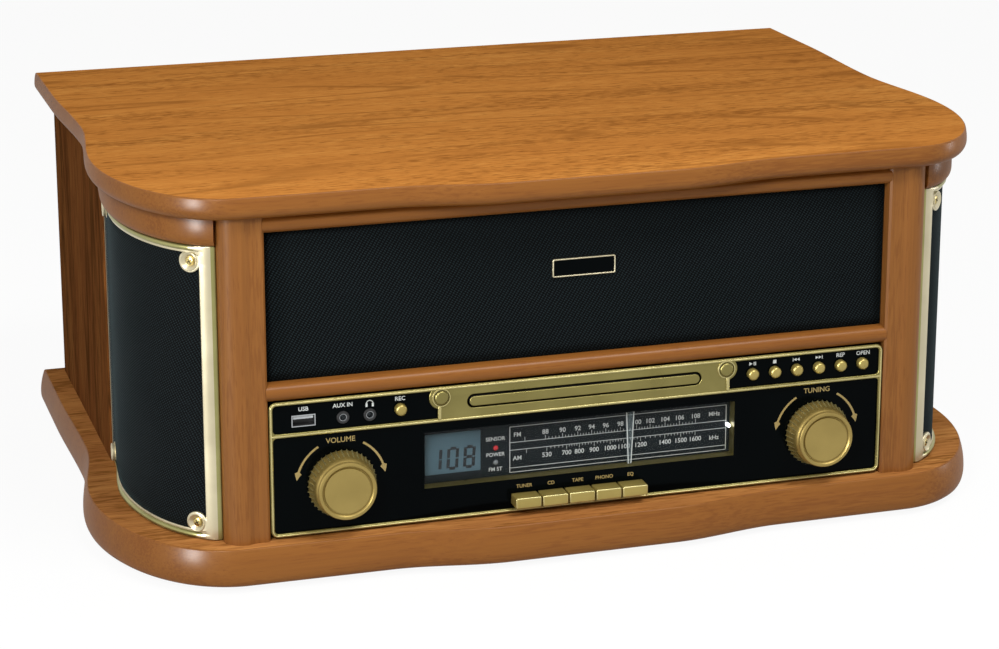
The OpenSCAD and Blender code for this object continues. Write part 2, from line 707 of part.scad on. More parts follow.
// Printed scale plate behind the pointer, with the pointer's guide rod above it
lcd_x1 = window_x0 + 35;
lamp_x = window_x0 + 43;
lamp_z = [window_z0 + 17, window_z0 + 8.5];
rod_r = 1;
rod_y0 = pointer_y + 1.4;
stop_x = [pointer_x - pointer_left - 12, pointer_x + pointer_right + 10];
module dial_scale() color([0.1, 0.13, 0.14]) cabinet() {
  difference() {
    block([lcd_x1, scale_y, window_z0 - 2], [window_x1 + 1, scale_y + 1.5, rod_z + 3]);
    for (z = lamp_z) rod_y(lamp_x, z, lamp_r + 0.1, scale_y - 1, scale_y + 2, 24);
  }
  for (x = stop_x) block([x - 1.5, pointer_y, rod_z - 2], [x + 1.5, scale_y + eps, rod_z + 2]);
  rod_x(rod_y0, rod_z, rod_r, stop_x[0], stop_x[1], 24);
}

// Tapered clear pointer on a carriage that slides along the guide rod
tip_w = 2.4;
top_w = 5.4;
carriage_w = 7;
module dial_pointer() color([0.85, 0.9, 0.95, 0.5]) cabinet() translate([pointer_x, 0, 0]) {
  upright(pointer_y, pointer_y + pointer_t) polygon([[-tip_w / 2, window_z0 + 0.5],
    [tip_w / 2, window_z0 + 0.5], [top_w / 2, window_z1 - 0.5], [top_w / 2, rod_z - 1.5],
    [-top_w / 2, rod_z - 1.5], [-top_w / 2, window_z1 - 0.5]]);
  difference() {
    block([-carriage_w / 2, pointer_y - 0.4, rod_z - 2], [carriage_w / 2, scale_y - 0.5, rod_z + 2]);
    rod_x(rod_y0, rod_z, rod_r + play, -carriage_w, carriage_w, 24);
  }
}

// Liquid crystal display, two lamps beside the scale and the lamp at its right end
lamp_r = 1.5;
module display_module() color([0.35, 0.42, 0.44]) cabinet() {
  block([window_x0 - 1, scale_y, window_z0 - 2], [lcd_x1 - 0.2, scale_y + 4, window_z1 + 1]);
  for (z = lamp_z) {
    rod_y(lamp_x, z, lamp_r, scale_y - 0.8, scale_y + 4, 24);
    rod_y(lamp_x, z, lamp_r + 0.7, scale_y + 1.7, scale_y + 6, 24);
  }
  block([lcd_x1 - 0.4, scale_y + 1.7, window_z0 + 2], [lamp_x + 3, scale_y + 4, window_z0 + 20]);
  block([window_x1 - 4, scale_y + 1.6, window_z0 + 14], [window_x1 + 2, scale_y + 5, window_z0 + 20]);
}

// Board behind the panel with its switches and the two rotary controls, main board and tuner
board_y = 17;
board_t = 1.6;
board_in = slot_front_w / 2 + 3.4;
tact_w = 3;
control_r = 8;
stem_end = fascia_t + 4;
key_tail = 8;
tuner = [30, 24.4, 24];
main_x = -90;
main_back = 130;
main_y = body_rear - main_back;
main_w = 160;
main_d = 100;
main_z = plinth_z + 8;
can_x = [114, 132];
can_r = 8;
can_h = 28;
main_top = main_z + board_t;
sink_y = main_y + 72;
sink_h = 34.4;
fins = 9;
fin_pitch = 12;
module circuit_boards() color([0.10, 0.32, 0.16]) cabinet() {
  difference() {
    union() {
      both_sides() block([board_in, board_y, fascia_z + 2],
        [half_w - 4, board_y + board_t, fascia_top - 4]);
      block([-board_in - eps, board_y, fascia_z + 2], [board_in + eps, board_y + board_t, fascia_z + 36]);
      for (x = [-1, 1]) rod_y(x * knob_x, knob_height, control_r, stem_end, board_y + eps);
      for (i = [0:6]) block([button_x(i) - tact_w, stem_end + button_travel + air, button_z - tact_w],
        [button_x(i) + tact_w, board_y + eps, button_z + tact_w]);
      block([key_x(0) - key_w / 2, key_tail + key_travel + air, key_z],
        [key_x(4) + key_w / 2, board_y + eps, key_z + key_h]);
    }
    for (x = [-1, 1]) rod_y(x * knob_x, knob_height, shaft_r + play, 0, 14);
  }
  translate([knob_x - 40, board_y + board_t, fascia_z + 10]) cube(tuner);
  translate([main_x, main_y, main_z]) cube([main_w, main_d, board_t]);
  for (x = [6, main_w - 6], y = [6, main_d - 6])
    translate([main_x + x, main_y + y, plinth_z]) cylinder(h = 8 + eps, r = 3, $fn = 24);
  translate([main_x + 10, sink_y, main_top]) {
    cube([fins * fin_pitch - 8, 4, sink_h]);
    for (i = [0:fins - 1]) translate([2 + i * fin_pitch, 4 - eps, 0]) cube([2, 12, sink_h]);
    for (x = can_x) translate([x, 4, -eps]) cylinder(h = can_h, r = can_r);
  }
}

// Mains transformer: foot plate, laminated core with two windows, and the winding in them
core = [52, 22, 46];
core_leg = 9;
core_foot = 10;
core_back = 95;
core_in = 64.3;
winding_w = core[0] / 2 - core_leg + 0.8;
winding_d = 19;
module power_transformer() color([0.45, 0.42, 0.38]) cabinet()
  translate([-inner_x + core_in, body_rear - core_back, plinth_z]) {
  block([-core[0] / 2 - 8, -20, 0], [core[0] / 2 + 8, 20, board_t]);
  difference() {
    block([-core[0] / 2, -core[1] / 2, board_t - eps], [core[0] / 2, core[1] / 2, core[2]]);
    for (x = [-1, 1]) translate([x * 1.5 * core_leg - core_leg / 2, -core[1], core_foot])
      cube([core_leg, 2 * core[1], core[2] - core_foot - 8]);
  }
  difference() {
    block([-winding_w, -winding_d, core_foot + 0.2], [winding_w, winding_d, core[2] - 8.2]);
    block([-core_leg, -winding_d - 1, 0], [core_leg, winding_d + 1, core[2]]);
  }
  for (y = [-15, 15])
    block([-core_leg - 0.1, y - 4, core_foot + 0.2], [core_leg + 0.1, y + 4, core[2] - 8.2]);
}

// Deck board, with the platter's bearing below it
deck_front = frame_back + air;
deck_back = body_rear - rear_rail_t - air;
speed_x = 24.3 - inner_x;
speed_y = 205;
speed_travel = 16;
bearing_len = 26;
pin_r = 1.2;
module deck_plate() color([0.1, 0.1, 0.11]) cabinet() difference() {
  union() {
    translate([0, 0, deck_z - deck_t]) linear_extrude(deck_t) {
      translate([-pod_in + air, deck_front]) square([2 * (pod_in - air), deck_back - deck_front]);
      translate([-inner_x + air, side_front + 1]) square([2 * (inner_x - air), deck_back - side_front - 1]);
    }
    translate([platter_x, platter_y, deck_z - bearing_len])
      cylinder(h = bearing_len - eps, r = bearing_r + 5);
  }
  translate([platter_x, platter_y, deck_z - bearing_len - 1])
    cylinder(h = bearing_len + 2, r = bearing_r + play);
  translate([motor_x, motor_y, deck_z - deck_t - 1]) cylinder(h = deck_t + 2, r = pulley_r + 3);
  block([speed_x - 2.5, speed_y - 4, deck_z - deck_t - 1],
    [speed_x + 2.5, speed_y + speed_travel + 4, deck_z + 1]);
}

motor_h = 24;
motor_r = 17;
motor_plate_r = 22;
motor_plate_t = 1.6;
module phono_motor() color(steel) cabinet() translate([motor_x, motor_y, deck_z - deck_t]) difference() {
  union() {
    translate([0, 0, -motor_h]) cylinder(h = motor_h, r = motor_r);
    translate([0, 0, -motor_plate_t]) cylinder(h = motor_plate_t, r = motor_plate_r);
  }
  translate([0, 0, 4 - motor_h]) cylinder(h = 30, r = pin_r + play, $fn = 32);
}

// Motor pulley on its own spindle, which turns in the motor
pulley_z = platter_z;
flange = 1.2;
module motor_pulley() color([0.72, 0.6, 0.3]) cabinet() translate([motor_x, motor_y, 0]) {
  translate([0, 0, deck_z - deck_t - 18]) cylinder(h = deck_t + 22, r = pin_r, $fn = 32);
  translate([0, 0, pulley_z - 0.6]) cylinder(h = 0.8, r = pulley_r + flange);
  translate([0, 0, pulley_z]) cylinder(h = 4.6, r = pulley_r);
  translate([0, 0, pulley_z + 4.4]) cylinder(h = 0.6, r = pulley_r + flange);
}

// Belt round the platter's inner rim and the motor pulley
belt_t = 0.7;
module belt_path(grow) hull() {
  translate([platter_x, platter_y]) circle(belt_rim_r + grow, $fn = 72);
  translate([motor_x, motor_y]) circle(pulley_r + grow, $fn = 32);
}
module drive_belt() color(dark) cabinet() translate([0, 0, pulley_z + 0.4]) linear_extrude(3.8) difference() {
  belt_path(air + belt_t);
  belt_path(air);
}

// Platter with its rim, belt rim, shaft and record spindle, which stands on a collar inside the mat
collar_r = spindle_r + 0.4;
spindle_h = 11;
rim_t = 3;
web_z = 5.5;
hub_low = -2.4;
module platter() color(steel) cabinet() translate([platter_x, platter_y, platter_z]) {
  rotate_extrude($fn = 96) polygon([[0, platter_h], [platter_r - 1, platter_h],
    [platter_r, platter_h - 1], [platter_r, air], [platter_r - rim_t, air],
    [platter_r - rim_t, web_z], [belt_rim_r, web_z], [belt_rim_r, -0.5],
    [belt_rim_r - rim_t, -0.5], [belt_rim_r - rim_t, web_z], [bearing_r + 10, web_z],
    [bearing_r + 10, hub_low], [0, hub_low]]);
  translate([0, 0, -bearing_len - 2]) cylinder(h = bearing_len, r = bearing_r);
  translate([0, 0, platter_h - eps]) cylinder(h = mat_t + eps, r = collar_r);
  translate([0, 0, platter_h + mat_t]) cylinder(h = spindle_h, r = spindle_r);
  translate([0, 0, platter_h + mat_t + spindle_h]) cylinder(h = 2, r1 = spindle_r, r2 = 1.4);
}

module platter_mat() color([0.09, 0.09, 0.1]) cabinet()
  translate([platter_x, platter_y, mat_z]) difference() {
  cylinder(h = mat_t, r = platter_r - rim_t, $fn = 96);
  translate([0, 0, -1]) cylinder(h = mat_t + 2, r = collar_r + air);
}

// Tonearm base with its lift bar, arm rest and the ears of the cue lever
lift_r = 36;
lift_w = 3;
rest_back = 120;
rest_y = arm_y - rest_back;
rest_z = arm_height - arm_r - air;
rest_w = arm_r + 2;
cue_x = arm_x + 27;
cue_y = arm_y - 8;
cue_z = deck_z + 12;
cue_ear = 5;
base_top = deck_z + 14;
pivot_shaft_r = 4;
module tonearm_base() color([0.12, 0.12, 0.13]) cabinet() {
  translate([arm_x, arm_y, 0]) difference() {
    union() {
      translate([0, 0, deck_z]) cylinder(h = 5, r = 22);
      translate([0, 0, deck_z]) cylinder(h = base_top - deck_z, r = 10);
    }
    translate([0, 0, deck_z + 1]) cylinder(h = 20, r = pivot_shaft_r + play);
  }
  translate([arm_x, arm_y, 0]) rotate([0, 0, -144]) rotate_extrude(angle = 62)
    translate([lift_r - lift_w / 2, arm_height - arm_r - 3]) square([lift_w, 2.5]);
  translate([arm_x, arm_y - lift_r, deck_z]) cylinder(h = arm_z - arm_r - 2, r = 2);
  translate([arm_x, rest_y, deck_z]) cylinder(h = rest_z - 2 - deck_z, r = 5);
  block([arm_x - rest_w, rest_y - 4, rest_z - 2 - eps], [arm_x + rest_w, rest_y + 4, rest_z]);
  block([arm_x + arm_r + air, rest_y - 4, rest_z - 1], [arm_x + rest_w, rest_y + 4, arm_height + 2]);
  difference() {
    for (x = [-cue_ear, cue_ear])
      block([cue_x + x - 1.2, cue_y - 4, deck_z], [cue_x + x + 1.2, cue_y + 4, cue_z + 4]);
    rod_x(cue_y, cue_z, pin_r + play, cue_x - 8, cue_x + 8);
  }
}

// Lever that raises the arm off the record
cue_len = 28;
module cue_lever() color(steel) cabinet() {
  rod_x(cue_y, cue_z, 3, cue_x - cue_ear + 1.5, cue_x + cue_ear - 1.5);
  rod_x(cue_y, cue_z, pin_r, cue_x - cue_ear - 1.2, cue_x + cue_ear + 1.2);
  block([cue_x - 1.5, cue_y - cue_len, cue_z - 1], [cue_x + 1.5, cue_y, cue_z + 1]);
  rod_x(cue_y - cue_len, cue_z, 2, cue_x - 3, cue_x + 3);
}

// Upright swivel that carries the arm between two ears
ear_in = arm_r + 2;
ear_t = 3;
lift_pin_r = 1.5;
turntable_t = 2.4;
module tonearm_pivot() color(steel) cabinet() translate([arm_x, arm_y, 0]) {
  translate([0, 0, deck_z + 3]) cylinder(h = base_top - deck_z - 2, r = pivot_shaft_r);
  translate([0, 0, base_top + air]) cylinder(h = turntable_t, r = ear_in + ear_t + 2);
  difference() {
    both_sides() block([ear_in, -5, base_top + air + turntable_t - eps], [ear_in + ear_t, 5, arm_height + 5]);
    rod_x(0, arm_height, lift_pin_r + play, -20, 20);
  }
}

// Arm: tube, counterweight, lift pin, headshell, cartridge and stylus
shell_turn = 22;
weight_r = 10.5;
module tonearm() color(steel) cabinet() translate([arm_x, arm_y, arm_height]) {
  rod_y(0, 0, arm_r, 24 - arm_len, 16);
  rod_y(0, 0, arm_r - 1, 15, 46);
  rod_y(0, 0, weight_r, 20, 38);
  rod_x(0, 0, lift_pin_r, -ear_in - ear_t + air, ear_in + ear_t - air);
  translate([0, -arm_len, 0]) rotate([0, 0, -shell_turn]) {
    translate([0, 0, 0.5]) block([-8.5, -10, -1.5], [8.5, 26, 1.5]);
    block([-6, -6, -9], [6, 14, -0.9]);
    translate([0, 0, -12]) cylinder(h = 3.2, r1 = 0.3, r2 = 2, $fn = 24);
    block([8, -6, 0], [15, -4, 1.5]);
  }
}

// Three-place speed switch, which slides along Y
module speed_switch() color(steel) cabinet() translate([speed_x, speed_y, deck_z]) {
  block([-4, -5, air], [4, 5, 5]);
  block([-1.8, -3, -deck_t - 2], [1.8, 3, air + eps]);
}

// Disc drawer mechanism: rails with stops, floor, clamp bridge, legs and the spindle motor
tray_body_w = 131;
tray_body_h = 5;
hub_r = 13;
rail_in = tray_body_w / 2 + air;
rail_out = rail_in + 2.4;
chassis_back = tray_len + 8;
chassis_z = tray_z - 7;
chassis_top = tray_z + 9;
chassis_t = 2;
leg = 8;
stop_w = 4;
stop_h = 2;
hub_motor_r = 12;
lens_slot = [34, 52];
module cd_chassis() color(steel) cabinet() {
  both_sides() block([rail_in, fascia_t + fascia_rim + air, chassis_z],
    [rail_out, chassis_back, chassis_top]);
  difference() {
    block([-rail_out, fascia_t + 12, chassis_z - chassis_t], [rail_out, chassis_back, chassis_z + eps]);
    translate([0, disc_y, chassis_z - 3]) cylinder(h = 5, r = pin_r + play, $fn = 32);
    translate([hub_r + 3, disc_y - lens_slot[1] / 2, chassis_z - 3])
      cube([lens_slot[0], lens_slot[1], 4]);
  }
  block([-rail_out, disc_y - 12, chassis_top - chassis_t], [rail_out, disc_y + 12, chassis_top]);
  translate([0, disc_y, chassis_top - 3.4]) cylinder(h = 1.4 + eps, r = hub_r + 1);
  block([-rail_out, chassis_back - chassis_t, chassis_z], [rail_out, chassis_back, chassis_top]);
  both_sides() block([rail_in - stop_w, tray_len - 2 * stop_w - tray_travel, tray_z + tray_body_h / 2 + air],
    [rail_in + eps, tray_len - stop_w - tray_travel, chassis_top]);
  both_sides() for (y = [20, chassis_back - 12])
    block([rail_out - leg, y, plinth_z], [rail_out, y + leg, chassis_z - chassis_t + eps]);
  difference() {
    translate([0, disc_y, chassis_z - 12]) cylinder(h = 10 + eps, r = hub_motor_r);
    translate([0, disc_y, chassis_z - 11]) cylinder(h = 12, r = pin_r + play, $fn = 32);
  }
}

// Turntable hub for the disc on its motor's shaft
module cd_spindle() color(dark) cabinet() translate([0, disc_y, 0]) {
  translate([0, 0, chassis_z - 9]) cylinder(h = 12, r = pin_r, $fn = 32);
  translate([0, 0, chassis_z + 2]) cylinder(h = tray_z - chassis_z - 2.2, r = hub_r);
  translate([0, 0, tray_z - 0.3]) cylinder(h = 2.2, r1 = 7.4, r2 = 6);
}

// Drawer: front bar, a bed with the disc's recess and a slot that passes the hub, and end stops
recess = 1.6;
module cd_tray() color(gold) cabinet() {
  upright(-1, 1.6) translate([0, tray_z]) rounded(tray_front_w, tray_front_h, tray_front_h / 2 - eps);
  difference() {
    block([-tray_body_w / 2, 1.5, tray_z - tray_body_h / 2],
      [tray_body_w / 2, tray_len, tray_z + tray_body_h / 2]);
    translate([0, disc_y, tray_z + tray_body_h / 2 - recess]) cylinder(h = 5, r = disc_r, $fn = 96);
    translate([0, disc_y, tray_z - 6]) cylinder(h = 20, r = hub_r + 3);
    block([-hub_r - 3, disc_y, tray_z - 6], [hub_r + 3, tray_len + 1, tray_z + 6]);
  }
  both_sides() block([tray_body_w / 2 - stop_w, tray_len - stop_w + air, tray_z],
    [tray_body_w / 2, tray_len, tray_z + tray_body_h / 2 + stop_h]);
}

// Tape mechanism: a lined slot with a bezel outside the side panel, and the box behind it
bezel_t = 1.6;
bezel_w = 6;
tape_depth = 66;
flap_axis_x = body_w / 2 - 1.6;
flap_axis_z = slot_z + slot_h - 2.1;
flap_pin_r = 1;
module tape_chassis() color(dark) cabinet() difference() {
  union() {
    block([inner_x - tape_depth - liner, slot_y - slot_w / 2 - liner, slot_z - liner],
      [body_w / 2 + bezel_t, slot_y + slot_w / 2 + liner, slot_z + slot_h + liner]);
    block([body_w / 2, slot_y - slot_w / 2 - bezel_w, slot_z - bezel_w],
      [body_w / 2 + bezel_t, key_tape_y + tape_key_r + bezel_w, slot_z + slot_h + bezel_w]);
    rod_x(key_tape_y, key_tape_z, tape_key_r + collar_t - air, inner_x, body_w / 2 + eps);
    block([inner_x - tape_depth + 4, slot_y - 30, slot_z - liner - 22],
      [inner_x - 20, slot_y + 30, slot_z - liner + eps]);
  }
  block([inner_x - tape_depth, slot_y - slot_w / 2, slot_z],
    [body_w / 2 + bezel_t + 1, slot_y + slot_w / 2, slot_z + slot_h]);
  rod_x(key_tape_y, key_tape_z, tape_key_r + 0.2, inner_x - 1, body_w / 2 + bezel_t + 1);
  rod_y(flap_axis_x, flap_axis_z, flap_pin_r + play, slot_y - slot_w / 2 - liner - 1,
    slot_y + slot_w / 2 + liner + 1, 32);
}

// Flap that closes the tape slot and swings inward about its top edge
module tape_door() color(black) cabinet() {
  y0 = slot_y - slot_w / 2 + air;
  y1 = slot_y + slot_w / 2 - air;
  rod_y(flap_axis_x, flap_axis_z, flap_t / 2 + 0.5, y0, y1, 32);
  rod_y(flap_axis_x, flap_axis_z, flap_pin_r, y0 - 1.6, y1 + 1.6, 32);
  block([flap_axis_x - flap_t / 2, y0, slot_z + 0.4], [flap_axis_x + flap_t / 2, y1, flap_axis_z]);
}

module tape_key() color(gold) cabinet()
  rod_x(key_tape_y, key_tape_z, tape_key_r, inner_x - 2, body_w / 2 + bezel_t + tape_key_out);

// Fixed hinge leaves with their pins, and the bracket of the lid stay
module knuckle(x, x0, x1, r) rod_x(hinge_y, hinge_z, r, x + x0, x + x1);
stay_t = 2;
stay_x1 = inner_x - 3.5;
stay_x0 = stay_x1 - stay_t;
module hinge_brackets() color(steel) cabinet() {
  for (x = [-hinge_x, hinge_x]) {
    block([x - hinge_w / 2, body_rear, hinge_z - 16], [x + hinge_w / 2, body_rear + 1.2, hinge_z - 2.4]);
    for (s = [-1, 1]) {
      a = s > 0 ? hinge_w / 6 + air : -hinge_w / 2;
      block([x + a, body_rear, hinge_z - 3], [x + a + hinge_w / 3 - air, hinge_y, hinge_z + 0.5]);
      knuckle(x, a, a + hinge_w / 3 - air, hinge_r);
    }
    knuckle(x, -hinge_w / 2 + 1, hinge_w / 2 - 1, hinge_pin_r);
  }
  block([stay_x1 + air, stay_y - 9, stay_z - 8], [inner_x, stay_y + 9, stay_z + 8]);
  rod_x(stay_y, stay_z, stay_pin_r, stay_x0 - 1, stay_x1 + air + eps);
}

// Moving hinge leaves and the slotted rail of the stay, fixed under the lid
rail_x1 = stay_x0 - air;
rail_t = 2;
pin_far = 2 * stay_len * cos(stay_angle);
pin_near = 2 * stay_len * cos(stay_angle + lid_open);
slot_play = 0.2;
module lid_fittings() color(steel) cabinet() {
  for (x = [-hinge_x, hinge_x]) difference() {
    union() {
      block([x - hinge_w / 2, body_rear + 0.6, lid_z - 1.2], [x + hinge_w / 2, plan_rear - 1, lid_z]);
      block([x - hinge_w / 6, hinge_y - 2.4, hinge_z], [x + hinge_w / 6, hinge_y + 2.4, lid_z - 1]);
      knuckle(x, -hinge_w / 6, hinge_w / 6, hinge_r);
    }
    knuckle(x, -hinge_w, hinge_w, hinge_pin_r + play);
    for (s = [-1 / 3, 1 / 3]) translate([x + s * hinge_w - hinge_w / 6, hinge_y - hinge_r - air, hinge_z])
      translate([s > 0 ? 0 : -1, 0, 0]) cube([hinge_w / 3 + 1, 2 * (hinge_r + air), lid_z + 1 - hinge_z]);
  }
  difference() {
    union() {
      block([rail_x1 - rail_t, hinge_y - pin_far - 7, hinge_z - 4.5],
        [rail_x1, hinge_y - pin_near + 7, lid_z]);
      block([rail_x1 - 9, hinge_y - pin_far - 7, lid_z - 1.2],
        [rail_x1, hinge_y - pin_near + 7, lid_z]);
    }
    block([rail_x1 - rail_t - 1, hinge_y - pin_far, hinge_z - stay_pin_r - slot_play],
      [rail_x1 + 1, hinge_y - pin_near, hinge_z + stay_pin_r + slot_play]);
    for (s = [pin_far, pin_near])
      rod_x(hinge_y - s, hinge_z, stay_pin_r + slot_play, rail_x1 - rail_t - 1, rail_x1 + 1);
  }
}

// Stay arm: turns on the bracket's pin and carries the pin that runs in the rail's slot
module lid_stay_arm() color(steel) cabinet()
  translate([0, stay_y, stay_z]) rotate([-stay_angle, 0, 0]) difference() {
  union() {
    rod_x(0, 0, 4.5, stay_x0, stay_x1);
    block([stay_x0, -stay_len, -2.6], [stay_x1, 0, 2.6]);
    rod_x(-stay_len, 0, 2.8, stay_x0, stay_x1);
    rod_x(-stay_len, 0, stay_pin_r, stay_x0 - air - rail_t - 0.6, stay_x0 + eps);
  }
  rod_x(0, 0, stay_pin_r + play, stay_x0 - 1, stay_x1 + 1);
}

module lid() color(wood) cabinet() translate([0, 0, lid_z])
  plank(lid_plan, lid_t, lid_swell, lid_under, lid_belly);

// Rotary knob: grooved skirt, plain ring, sunk face and its shaft
knob_grooves = 44;
knob_gap = 0.6;
groove_r = 0.75;
ring_w = 2.2;
module knob(x) color(gold) cabinet() {
  difference() {
    translate([x, -knob_gap, knob_height]) rotate([90, 0, 0])
      cylinder(h = knob_h - 3, r1 = knob_r, r2 = knob_face_r + 0.9, $fn = 2 * knob_grooves);
    for (i = [0:knob_grooves - 1])
      translate([x, -knob_gap, knob_height]) rotate([90, i * 360 / knob_grooves, 0])
        translate([knob_r + 0.1, 0, -1]) rotate([0, -8, 0])
          cylinder(h = knob_h - 4, r = groove_r, $fn = 4);
  }
  translate([x, 0, knob_height]) difference() {
    rod_y(0, 0, knob_face_r, -knob_h, 4 - knob_h);
    rod_y(0, 0, knob_face_r - ring_w, -knob_h - 1, 0.8 - knob_h);
  }
  rod_y(x, knob_height, shaft_r, -2, 13);
}
module volume_knob() knob(-knob_x);
module tuning_knob() knob(knob_x);

// Source keys: square caps that pass through the panel
module source_key(i) color(gold) cabinet()
  block([key_x(i) - key_w / 2, -key_out, key_z], [key_x(i) + key_w / 2, key_tail, key_z + key_h]);
module source_key_1() source_key(0);
module source_key_2() source_key(1);
module source_key_3() source_key(2);
module source_key_4() source_key(3);
module source_key_5() source_key(4);

// Round buttons with a domed face
module round_button(i) color(gold) cabinet() translate([button_x(i), 0, button_z]) {
  rod_y(0, 0, button_r, -button_h + 1, fascia_t + 2);
  rod_y(0, 0, 2, fascia_t + 1, stem_end);
  translate([0, -button_h + 1 + eps, 0]) rotate([90, 0, 0])
    cylinder(h = 1, r1 = button_r, r2 = button_r - 1.2);
}
module record_button() round_button(0);
module play_button() round_button(1);
module stop_button() round_button(2);
module previous_button() round_button(3);
module next_button() round_button(4);
module repeat_button() round_button(5);
module eject_button() round_button(6);

plinth();
feet();
side_panel_left();
side_panel_right();
rear_panel();
screws();
front_frame();
top_rails();
speaker_housings();
speaker_frames();
speaker_cloths();
speaker_drivers();
grille_panel();
badge_plate();
fascia();
fascia_trim();
front_sockets();
dial_scale();
dial_window();
dial_frame();
display_module();
circuit_boards();
power_transformer();
deck_plate();
phono_motor();
drive_belt();
tonearm_base();
cd_chassis();
tape_chassis();
rear_sockets();
hinge_brackets();
lid();
lid_fittings();
lid_stay_arm();
platter();
platter_mat();
motor_pulley();
tonearm_pivot();
tonearm();
cue_lever();
speed_switch();
volume_knob();
tuning_knob();
dial_pointer();
source_key_1();
source_key_2();
source_key_3();
source_key_4();
source_key_5();
cd_tray();
cd_spindle();
tape_door();
tape_key();
record_button();
play_button();
stop_button();
previous_button();
next_button();
repeat_button();
eject_button();
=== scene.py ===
import logging
import math
from dataclasses import dataclass, field
from enum import Enum
from typing import Any, Iterable, Sequence

import bmesh
import bpy
import numpy as np
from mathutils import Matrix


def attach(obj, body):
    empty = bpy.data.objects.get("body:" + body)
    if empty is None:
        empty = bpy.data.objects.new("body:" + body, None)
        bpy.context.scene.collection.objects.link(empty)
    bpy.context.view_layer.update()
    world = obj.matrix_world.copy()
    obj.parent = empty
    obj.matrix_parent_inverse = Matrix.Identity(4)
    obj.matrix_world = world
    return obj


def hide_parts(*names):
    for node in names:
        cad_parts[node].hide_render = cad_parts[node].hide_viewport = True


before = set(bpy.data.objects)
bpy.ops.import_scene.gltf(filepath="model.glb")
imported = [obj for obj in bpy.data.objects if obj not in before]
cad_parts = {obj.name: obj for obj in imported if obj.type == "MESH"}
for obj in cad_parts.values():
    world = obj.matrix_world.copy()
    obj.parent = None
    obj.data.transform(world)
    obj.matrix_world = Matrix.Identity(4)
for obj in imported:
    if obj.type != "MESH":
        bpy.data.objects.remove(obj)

# Places below are cabinet millimetres, as in the part's source: x from the middle, y back from the
# control panel's face, z up from the table. row() turns them into the frame's metres.
MM = 0.001
MID_Y = 159.25
WELD = 0.004  # points nearer than this become one
INK = 0.06  # thickness of printed ink
SMOOTHEST = 0.02  # least roughness that a finish takes
NOISE_LOW, NOISE_HIGH = 0.3, 0.7  # nearly all of a noise texture lies between these
log = logging.getLogger("music_centre")
Array = np.ndarray
Part = tuple[Array, Any]  # points and the point numbers of each face
Piece = bpy.types.Object
Tree = bpy.types.NodeTree
Socket = bpy.types.NodeSocket


def row(points: Array) -> Array:
    """Turns cabinet millimetres into row-frame metres.

    Args:
        points: Array whose last axis is x, y, z in cabinet millimetres.
    Returns:
        The same points in metres, with the object's middle at y = 0.
    """
    return (np.asarray(points, dtype=float) - (0.0, MID_Y, 0.0)) * MM


def linear(hex_colour: str) -> tuple[float, float, float, float]:
    """Turns an sRGB hex colour into linear light.

    Args:
        hex_colour: Colour such as "#B07840".
    Returns:
        Linear red, green and blue, and an alpha of 1.
    """
    raw = np.array([int(hex_colour[i:i + 2], 16) for i in (1, 3, 5)]) / 255.0
    lin = np.where(raw <= 0.04045, raw / 12.92, ((raw + 0.055) / 1.055) ** 2.4)
    return (float(lin[0]), float(lin[1]), float(lin[2]), 1.0)


def add(tree: Tree, kind: str, inputs: dict[Any, Any] | None = None,
        stops: Sequence[tuple[float, Any]] = (), **settings: Any) -> bpy.types.Node:
    """Adds one shader node.

    Args:
        tree: The node tree.
        kind: Node type without the "ShaderNode" prefix.
        inputs: Input name or number to a value, or to an output socket to link from.
        stops: A colour ramp's pairs of position and colour; a number stands for a grey.
        settings: Properties of the node itself.
    Returns:
        The new node.
    """
    node = tree.nodes.new("ShaderNode" + kind)
    for key, value in settings.items():
        setattr(node, key, value)
    for key, value in (inputs or {}).items():
        if isinstance(value, Socket):
            tree.links.new(value, node.inputs[key])
        else:
            node.inputs[key].default_value = value
    for _ in range(2, len(stops)):
        node.color_ramp.elements.new(0.5)
    for element, (place, colour) in zip(node.color_ramp.elements if stops else (), stops):
        element.position = place
        element.color = linear(colour) if isinstance(colour, str) else (colour, colour, colour, 1.0)
    return node


def wave_scale(pitch_mm: float) -> float:
    """Scale of a wave texture whose bands are pitch_mm apart: at scale 1 they are pi / 10 m apart."""
    return 100 * math.pi / pitch_mm


class Grain(Enum):
    """Direction in which the wood's fibres run: the turn about X, Y and Z that lays X along them."""

    ACROSS = (0.0, 0.0, 0.0)
    UPRIGHT = (0.0, math.pi / 2, 0.0)


